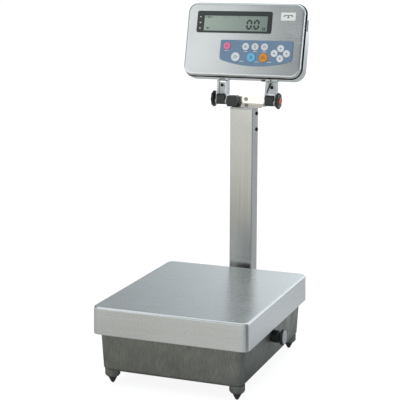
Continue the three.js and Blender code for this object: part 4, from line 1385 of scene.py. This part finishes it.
class BENCH_SCALE_OT_keypad(Step, Operator):
    """Makes the keypad overlay with its bowed lower edge, and plain dashes beside the keys"""

    bl_idname = "bench_scale.keypad"
    bl_label = "Keypad"

    def make(self):
        head = given("head")
        low, high = HEAD.box("keypad_panel")
        left, right, top, bow = low[0], high[0], high[1], low[1]
        round_, rise = head.keypad_corner, head.keypad_bow
        side = bow + rise
        foot = side - 3 * MM
        pull = 2 * bow - foot
        outline = np.concatenate([
            curve((right, top - round_), (right, top), (right - round_, top)),
            curve((left + round_, top), (left, top), (left, top - round_)),
            curve((left, side + round_), (left, side), (left + round_ + 1 * MM, foot)),
            curve((left + round_ + 1 * MM, foot), ((left + right) / 2, pull),
                  (right - round_ - 1 * MM, foot), 48)[1:],
            curve((right - round_ - 1 * MM, foot), (right, side), (right, side + round_))])
        holes = []
        for name in KEYS:
            key_low, key_high = HEAD.box(f"key_{name}")
            centre = middle(key_low, key_high)
            holes.append(regular(centre[0], centre[1],
                                 (key_high[0] - key_low[0]) / 2 + 0.35 * MM, 48))
        plate = pierced_plate("keypad_overlay", outline, holes, low[2], high[2], 0.3 * MM, HEAD)
        seat_for(plate, "slate_panel", "keypad_panel")
        shapes = []
        for name in KEYS[:7]:
            key_low, key_high = HEAD.box(f"key_{name}")
            centre, radius = middle(key_low, key_high), (key_high[0] - key_low[0]) / 2
            beside = radius > 9 * MM
            u = centre[0] + (radius + 4.4 * MM if beside else 0.0)
            v = centre[1] - (radius - 0.6 * MM if beside else radius + 2.6 * MM)
            shapes += [bar(u + step * MM, v, 2.6 * MM, 1.1 * MM) for step in (-3.3, 0, 3.3)]
        dashes = inlay("keypad_dashes", shapes, high[2] - 0.02 * MM, high[2] + 0.05 * MM, HEAD)
        seat(dashes, "white_label", "head")


def key_marks():
    """Generic mark of each key, in millimetres about its middle."""
    marks = {name: [regular(0, 0, 2.3, 3, turn)] for name, turn in
             {"up": 90, "left": 180, "right": 0, "down": -90}.items()}
    marks["power"] = [band(0, 0, 2.7, 0.8, 120, 420), bar(0, 2.2, 0.8, 3.4)]
    marks["zero"] = [band(0, 0, 2.6, 0.8), bar(0, 0, 2.4, 0.7)]
    marks["unit"] = [regular(0, 0, 1.5, 4), band(0, 0, 3.3, 0.7, 20, 160),
                     band(0, 0, 3.3, 0.7, 200, 340)]
    marks["print"] = [*frame_bars(0, -0.6, 6.4, 3.6, 0.7), bar(0, 2.4, 3.6, 1.0)]
    marks["memory"] = [*frame_bars(-0.8, 0, 5.6, 5.6, 0.8), regular(4.0, 0, 1.5, 3, 0)]
    marks["function"] = [regular(0, 1.6, 2.3, 3), *frame_bars(0, -1.4, 4.6, 2.6, 0.7)]
    marks["tare"] = [band(0, -1.4, 3.6, 0.9, 15, 165), bar(0, -1.6, 8.4, 0.8)]
    return marks


class BENCH_SCALE_OT_keys(Step, Operator):
    """Makes the eleven keys, each with a generic mark"""

    bl_idname = "bench_scale.keys"
    bl_label = "Keys"

    def make(self):
        marks = key_marks()
        for name in KEYS:
            node = f"key_{name}"
            low, high = HEAD.box(node)
            centre, radius = middle(low, high), (high[0] - low[0]) / 2
            top, edge = high[2], 0.55 * MM
            profile = held(
                (0.3 * MM, low[2]), (radius, low[2]),
                arc((radius - edge, top - edge), edge, 0, 90, 6),
                (radius - 1.1 * MM, top), (radius - 1.5 * MM, top - 0.15 * MM),
                (0.3 * MM, top - 0.15 * MM))
            placing = HEAD.moved(centre[0], centre[1])
            cap = turned(f"{node}_cap", profile, placing, 56)
            seat_for(cap, KEY_COLOURS.get(name, "white_key"), node)
            mark = inlay(f"{node}_mark", [MM * outline for outline in marks[name]],
                         top - 0.17 * MM, top - 0.08 * MM, placing)
            seat(mark, "black_plastic", BODY_OF[node])


class BENCH_SCALE_OT_label(Step, Operator):
    """Makes the blank label with a plain beam and pivot on it, and the breather plug"""

    bl_idname = "bench_scale.label"
    bl_label = "Label and plug"

    def make(self):
        low, high = HEAD.box("label_plate")
        edge = 0.25 * MM
        profile = held((-SUPPORT, low[2]), (0.0, low[2]),
                       arc((-edge, high[2] - edge), edge, 0, 90, 4),
                       (-edge - SUPPORT, high[2]))
        rings = around_box("label_plate", 1.2 * MM, profile, HEAD, steps=8)
        seat_for(loft("blank_label", rings, HEAD), "white_label", "label_plate")
        u, v = middle(low, high)[:2]
        beam = [bar(u, v + 2.4 * MM, 20 * MM, 1.5 * MM), regular(u, v - 1.6 * MM, 3.2 * MM, 3),
                bar(u - 9 * MM, v - 0.2 * MM, 4.4 * MM, 1.2 * MM),
                bar(u + 9 * MM, v - 0.2 * MM, 4.4 * MM, 1.2 * MM)]
        mark = inlay("label_mark", beam, high[2] - 0.02 * MM, high[2] + 0.05 * MM, HEAD)
        seat(mark, "display_lens", "head")
        low, high = HEAD.box("vent_plug")
        centre, radius = middle(low, high), (high[0] - low[0]) / 2
        down = Placing(HEAD.out((centre[0], 0, centre[2])), HEAD.axes[0], HEAD.axes[2])
        tail, brim = -high[1], -low[1]
        profile = held((0.3 * MM, tail), (0.6 * radius, tail), (0.6 * radius, brim - 2.7 * MM),
                       (radius, brim - 2.7 * MM), (radius, brim - 0.8 * MM),
                       arc((radius - 0.8 * MM, brim - 0.8 * MM), 0.8 * MM, 0, 90, 5),
                       (1.4 * MM, brim), (1.1 * MM, brim - 0.8 * MM), (0.3 * MM, brim - 0.8 * MM))
        seat_for(turned("breather_plug", profile, down, 40), "brown_plug", "vent_plug")


# ---------------------------------------------------------------- studio


FRONT, FRONT_LEFT, LEFT = (0.1, -0.99, -0.1), (-0.36, -0.93, 0.1), (-0.8, -0.6, 0.0)
RIGHT, REAR_RIGHT = (0.93, -0.36, -0.05), (0.45, 0.87, 0.2)
BESIDE, OVERHEAD = (0.92, 0.38, 0.0), (0.0, 0.0, 1.0)
COOL, WARM, WHITE = (0.95, 0.99, 1.02, 1.0), (1.0, 0.98, 0.92, 1.0), (1.0, 1.0, 1.0, 1.0)
SKY_TINT = (0.94, 1.0, 1.03, 1.0)


def lobe(tree, direction, towards, low, high):
    """How much a direction agrees with another one: 0 up to the cosine low, 1 from high on."""
    agreement = vector_node(tree, "DOT_PRODUCT", direction, towards, output=1)
    return ramp(tree, agreement, low, high)


class BENCH_SCALE_OT_studio(Step, Operator):
    """Makes the plain floor, the soft light all round and the camera"""

    bl_idname = "bench_scale.studio"
    bl_label = "Studio"

    def make(self):
        studio = given("studio")
        self.floor(studio)
        self.sky()
        self.soft_box(studio)
        self.camera(studio)
        bpy.context.scene.view_settings.view_transform = "Standard"

    def level_towards(self, tree, direction, level, lost):
        """Soft light of the given level that is a little stronger in front and loses a part of itself to the
        right. On the floor's glow this is painted light and shade."""
        front = lobe(tree, direction, FRONT, 0.85, 1.0)
        level = math_node(tree, "MULTIPLY_ADD", front, 0.1, level)
        dark = lobe(tree, direction, RIGHT, 0.92, 0.99)
        kept = math_node(tree, "SUBTRACT", 1.0, math_node(tree, "MULTIPLY", dark, lost))
        return math_node(tree, "MULTIPLY", level, kept)

    def floor(self, studio):
        """A flat grid of squares at the height of the feet. The camera sees it white with a faint shadow. All
        other rays see it glow with painted light and shade: a painted shadow near the object, brighter further off
        and towards the back right, darker to the right."""
        count = 9
        reach = np.linspace(-studio.floor_reach, studio.floor_reach, count)
        u, v = np.meshgrid(reach, reach, indexing="ij")
        points = np.stack([u, v, 0 * u], axis=2).reshape(-1, 3)
        first = np.arange(count - 1)[:, None] * count + np.arange(count - 1)
        quads = np.stack([first, first + count, first + count + 1, first + 1], axis=2)
        mesh = bpy.data.meshes.new("floor")
        mesh.from_pydata(points.tolist(), [], quads.reshape(-1, 4).tolist())
        floor = bpy.data.objects.new("floor", mesh)
        bpy.context.scene.collection.objects.link(floor)
        material, tree, principled = new_material(
            "floor_paint", Base_Color=studio.floor, Roughness=0.9, Specular_IOR_Level=0.0,
            Emission_Color=WHITE, Emission_Strength=studio.floor_glow)
        place = object_coordinates(tree)
        away = vector_node(tree, "LENGTH", place, output=1)
        outwards = vector_node(tree, "NORMALIZE", place)
        ahead = lobe(tree, outwards, LEFT, -0.1, 0.7)
        # Painted shadow: the glow is dim right round the object and rises further off.
        darkest_painted_shade, plain, far = 0.14, 0.62, 0.8
        level = math_node(tree, "MULTIPLY_ADD", ahead,
                          ramp(tree, away, 0.8, 3.2, 0.0, far, False),
                          ramp(tree, away, 0.15, 0.42, darkest_painted_shade, plain))
        # Painted light: the glow is brighter towards the back right.
        beside = lobe(tree, outwards, BESIDE, 0.6, 0.95)
        level = math_node(tree, "MULTIPLY_ADD", beside, 0.16, level)
        painted_floor_light = tree.nodes.new("ShaderNodeEmission")
        plug(tree, blend_colours(tree, ahead, COOL, WARM), painted_floor_light.inputs["Color"])
        # Painted shade: past 0.4 m from the middle the glow darkens to the right.
        lost = ramp(tree, away, 0.4, 0.65, 0.0, 0.75)
        plug(tree, self.level_towards(tree, outwards, level, lost), painted_floor_light.inputs["Strength"])
        either = tree.nodes.new("ShaderNodeMixShader")
        seen = tree.nodes.new("ShaderNodeLightPath").outputs["Is Camera Ray"]
        plug(tree, seen, either.inputs[0])
        plug(tree, painted_floor_light.outputs[0], either.inputs[1])
        plug(tree, principled.outputs[0], either.inputs[2])
        plug(tree, either.outputs[0], tree.nodes["Material Output"].inputs["Surface"])
        mesh.materials.append(material)

    def sky(self):
        """Soft light all round: strong overhead and behind on the right, weaker elsewhere.
        The camera sees plain white."""
        world = bpy.data.worlds.new("studio_light")
        world.use_nodes = True
        tree = world.node_tree
        direction = tree.nodes.new("ShaderNodeTexCoord").outputs["Generated"]
        overhead = lobe(tree, direction, OVERHEAD, 0.5, 0.95)
        behind = lobe(tree, direction, REAR_RIGHT, 0.6, 0.8)
        height = tree.nodes.new("ShaderNodeSeparateXYZ")
        plug(tree, direction, height.inputs[0])
        level = math_node(tree, "MULTIPLY_ADD", overhead, 1.0, 0.3)
        level = math_node(tree, "MULTIPLY_ADD", behind, 0.85, level)
        horizon = ramp(tree, height.outputs["Z"], 0.17, 0.26, 1.0, 0.0)
        ahead = lobe(tree, direction, FRONT_LEFT, 0.7, 0.95)
        low = math_node(tree, "MULTIPLY_ADD", ahead, 0.5, 0.72)
        level = math_node(tree, "MULTIPLY_ADD", horizon, low, level)
        level = self.level_towards(tree, direction, level, 0.7)
        seen = tree.nodes.new("ShaderNodeLightPath").outputs["Is Camera Ray"]
        background = tree.nodes["Background"]
        plug(tree, math_node(tree, "MAXIMUM", level, seen), background.inputs["Strength"])
        plug(tree, blend_colours(tree, seen, SKY_TINT, WHITE), background.inputs["Color"])
        bpy.context.scene.world = world

    def soft_box(self, studio):
        """A large soft box in front on the left, which the upper left of the head mirrors."""
        lamp = bpy.data.lights.new("soft_box", "AREA")
        lamp.shape = "RECTANGLE"
        lamp.size, lamp.size_y = studio.soft_box_width, studio.soft_box_height
        lamp.energy = studio.soft_box_power
        box = bpy.data.objects.new("soft_box", lamp)
        box.location = studio.soft_box_place
        towards = Vector(studio.soft_box_aim) - Vector(studio.soft_box_place)
        box.rotation_euler = towards.to_track_quat("-Z", "Y").to_euler()
        bpy.context.scene.collection.objects.link(box)

    def camera(self, studio):
        """A camera at the chosen place, turned left and tilted down."""
        lens = bpy.data.cameras.new("camera")
        lens.lens = studio.lens
        lens.sensor_width = 36.0
        camera = bpy.data.objects.new("camera", lens)
        camera.location = studio.camera_place
        camera.rotation_euler = (math.pi / 2 - studio.camera_pitch, 0.0, studio.camera_yaw)
        bpy.context.scene.collection.objects.link(camera)
        bpy.context.scene.camera = camera


# ---------------------------------------------------------------- add-on

OPERATORS = (
    BENCH_SCALE_OT_studio, BENCH_SCALE_OT_finishes, BENCH_SCALE_OT_pan, BENCH_SCALE_OT_tub,
    BENCH_SCALE_OT_feet, BENCH_SCALE_OT_buffers, BENCH_SCALE_OT_inner_works,
    BENCH_SCALE_OT_lock_knob, BENCH_SCALE_OT_glands, BENCH_SCALE_OT_column,
    BENCH_SCALE_OT_sheet_parts, BENCH_SCALE_OT_screws, BENCH_SCALE_OT_tilt_knobs,
    BENCH_SCALE_OT_front_panel, BENCH_SCALE_OT_rear_case, BENCH_SCALE_OT_display,
    BENCH_SCALE_OT_keypad, BENCH_SCALE_OT_keys, BENCH_SCALE_OT_label,
)


class VIEW3D_PT_bench_scale(Panel):
    """Lists the steps that build the bench scale"""

    bl_space_type = "VIEW_3D"
    bl_region_type = "UI"
    bl_category = "Bench Scale"
    bl_label = "Bench Scale"

    def draw(self, context):
        for step in OPERATORS:
            self.layout.operator(step.bl_idname)


def register():
    """Registers the settings, the steps and the panel."""
    for name, settings in SETTINGS.items():
        bpy.utils.register_class(settings)
        setattr(bpy.types.Scene, f"bench_scale_{name}", PointerProperty(type=settings))
    for step in (*OPERATORS, VIEW3D_PT_bench_scale):
        bpy.utils.register_class(step)


def unregister():
    """Takes away what register added."""
    for step in (VIEW3D_PT_bench_scale, *reversed(OPERATORS)):
        bpy.utils.unregister_class(step)
    for name, settings in SETTINGS.items():
        delattr(bpy.types.Scene, f"bench_scale_{name}")
        bpy.utils.unregister_class(settings)


def main():
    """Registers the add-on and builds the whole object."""
    register()
    for step in OPERATORS:
        group, name = step.bl_idname.split(".")
        getattr(getattr(bpy.ops, group), name)()


if __name__ == "__main__":
    main()
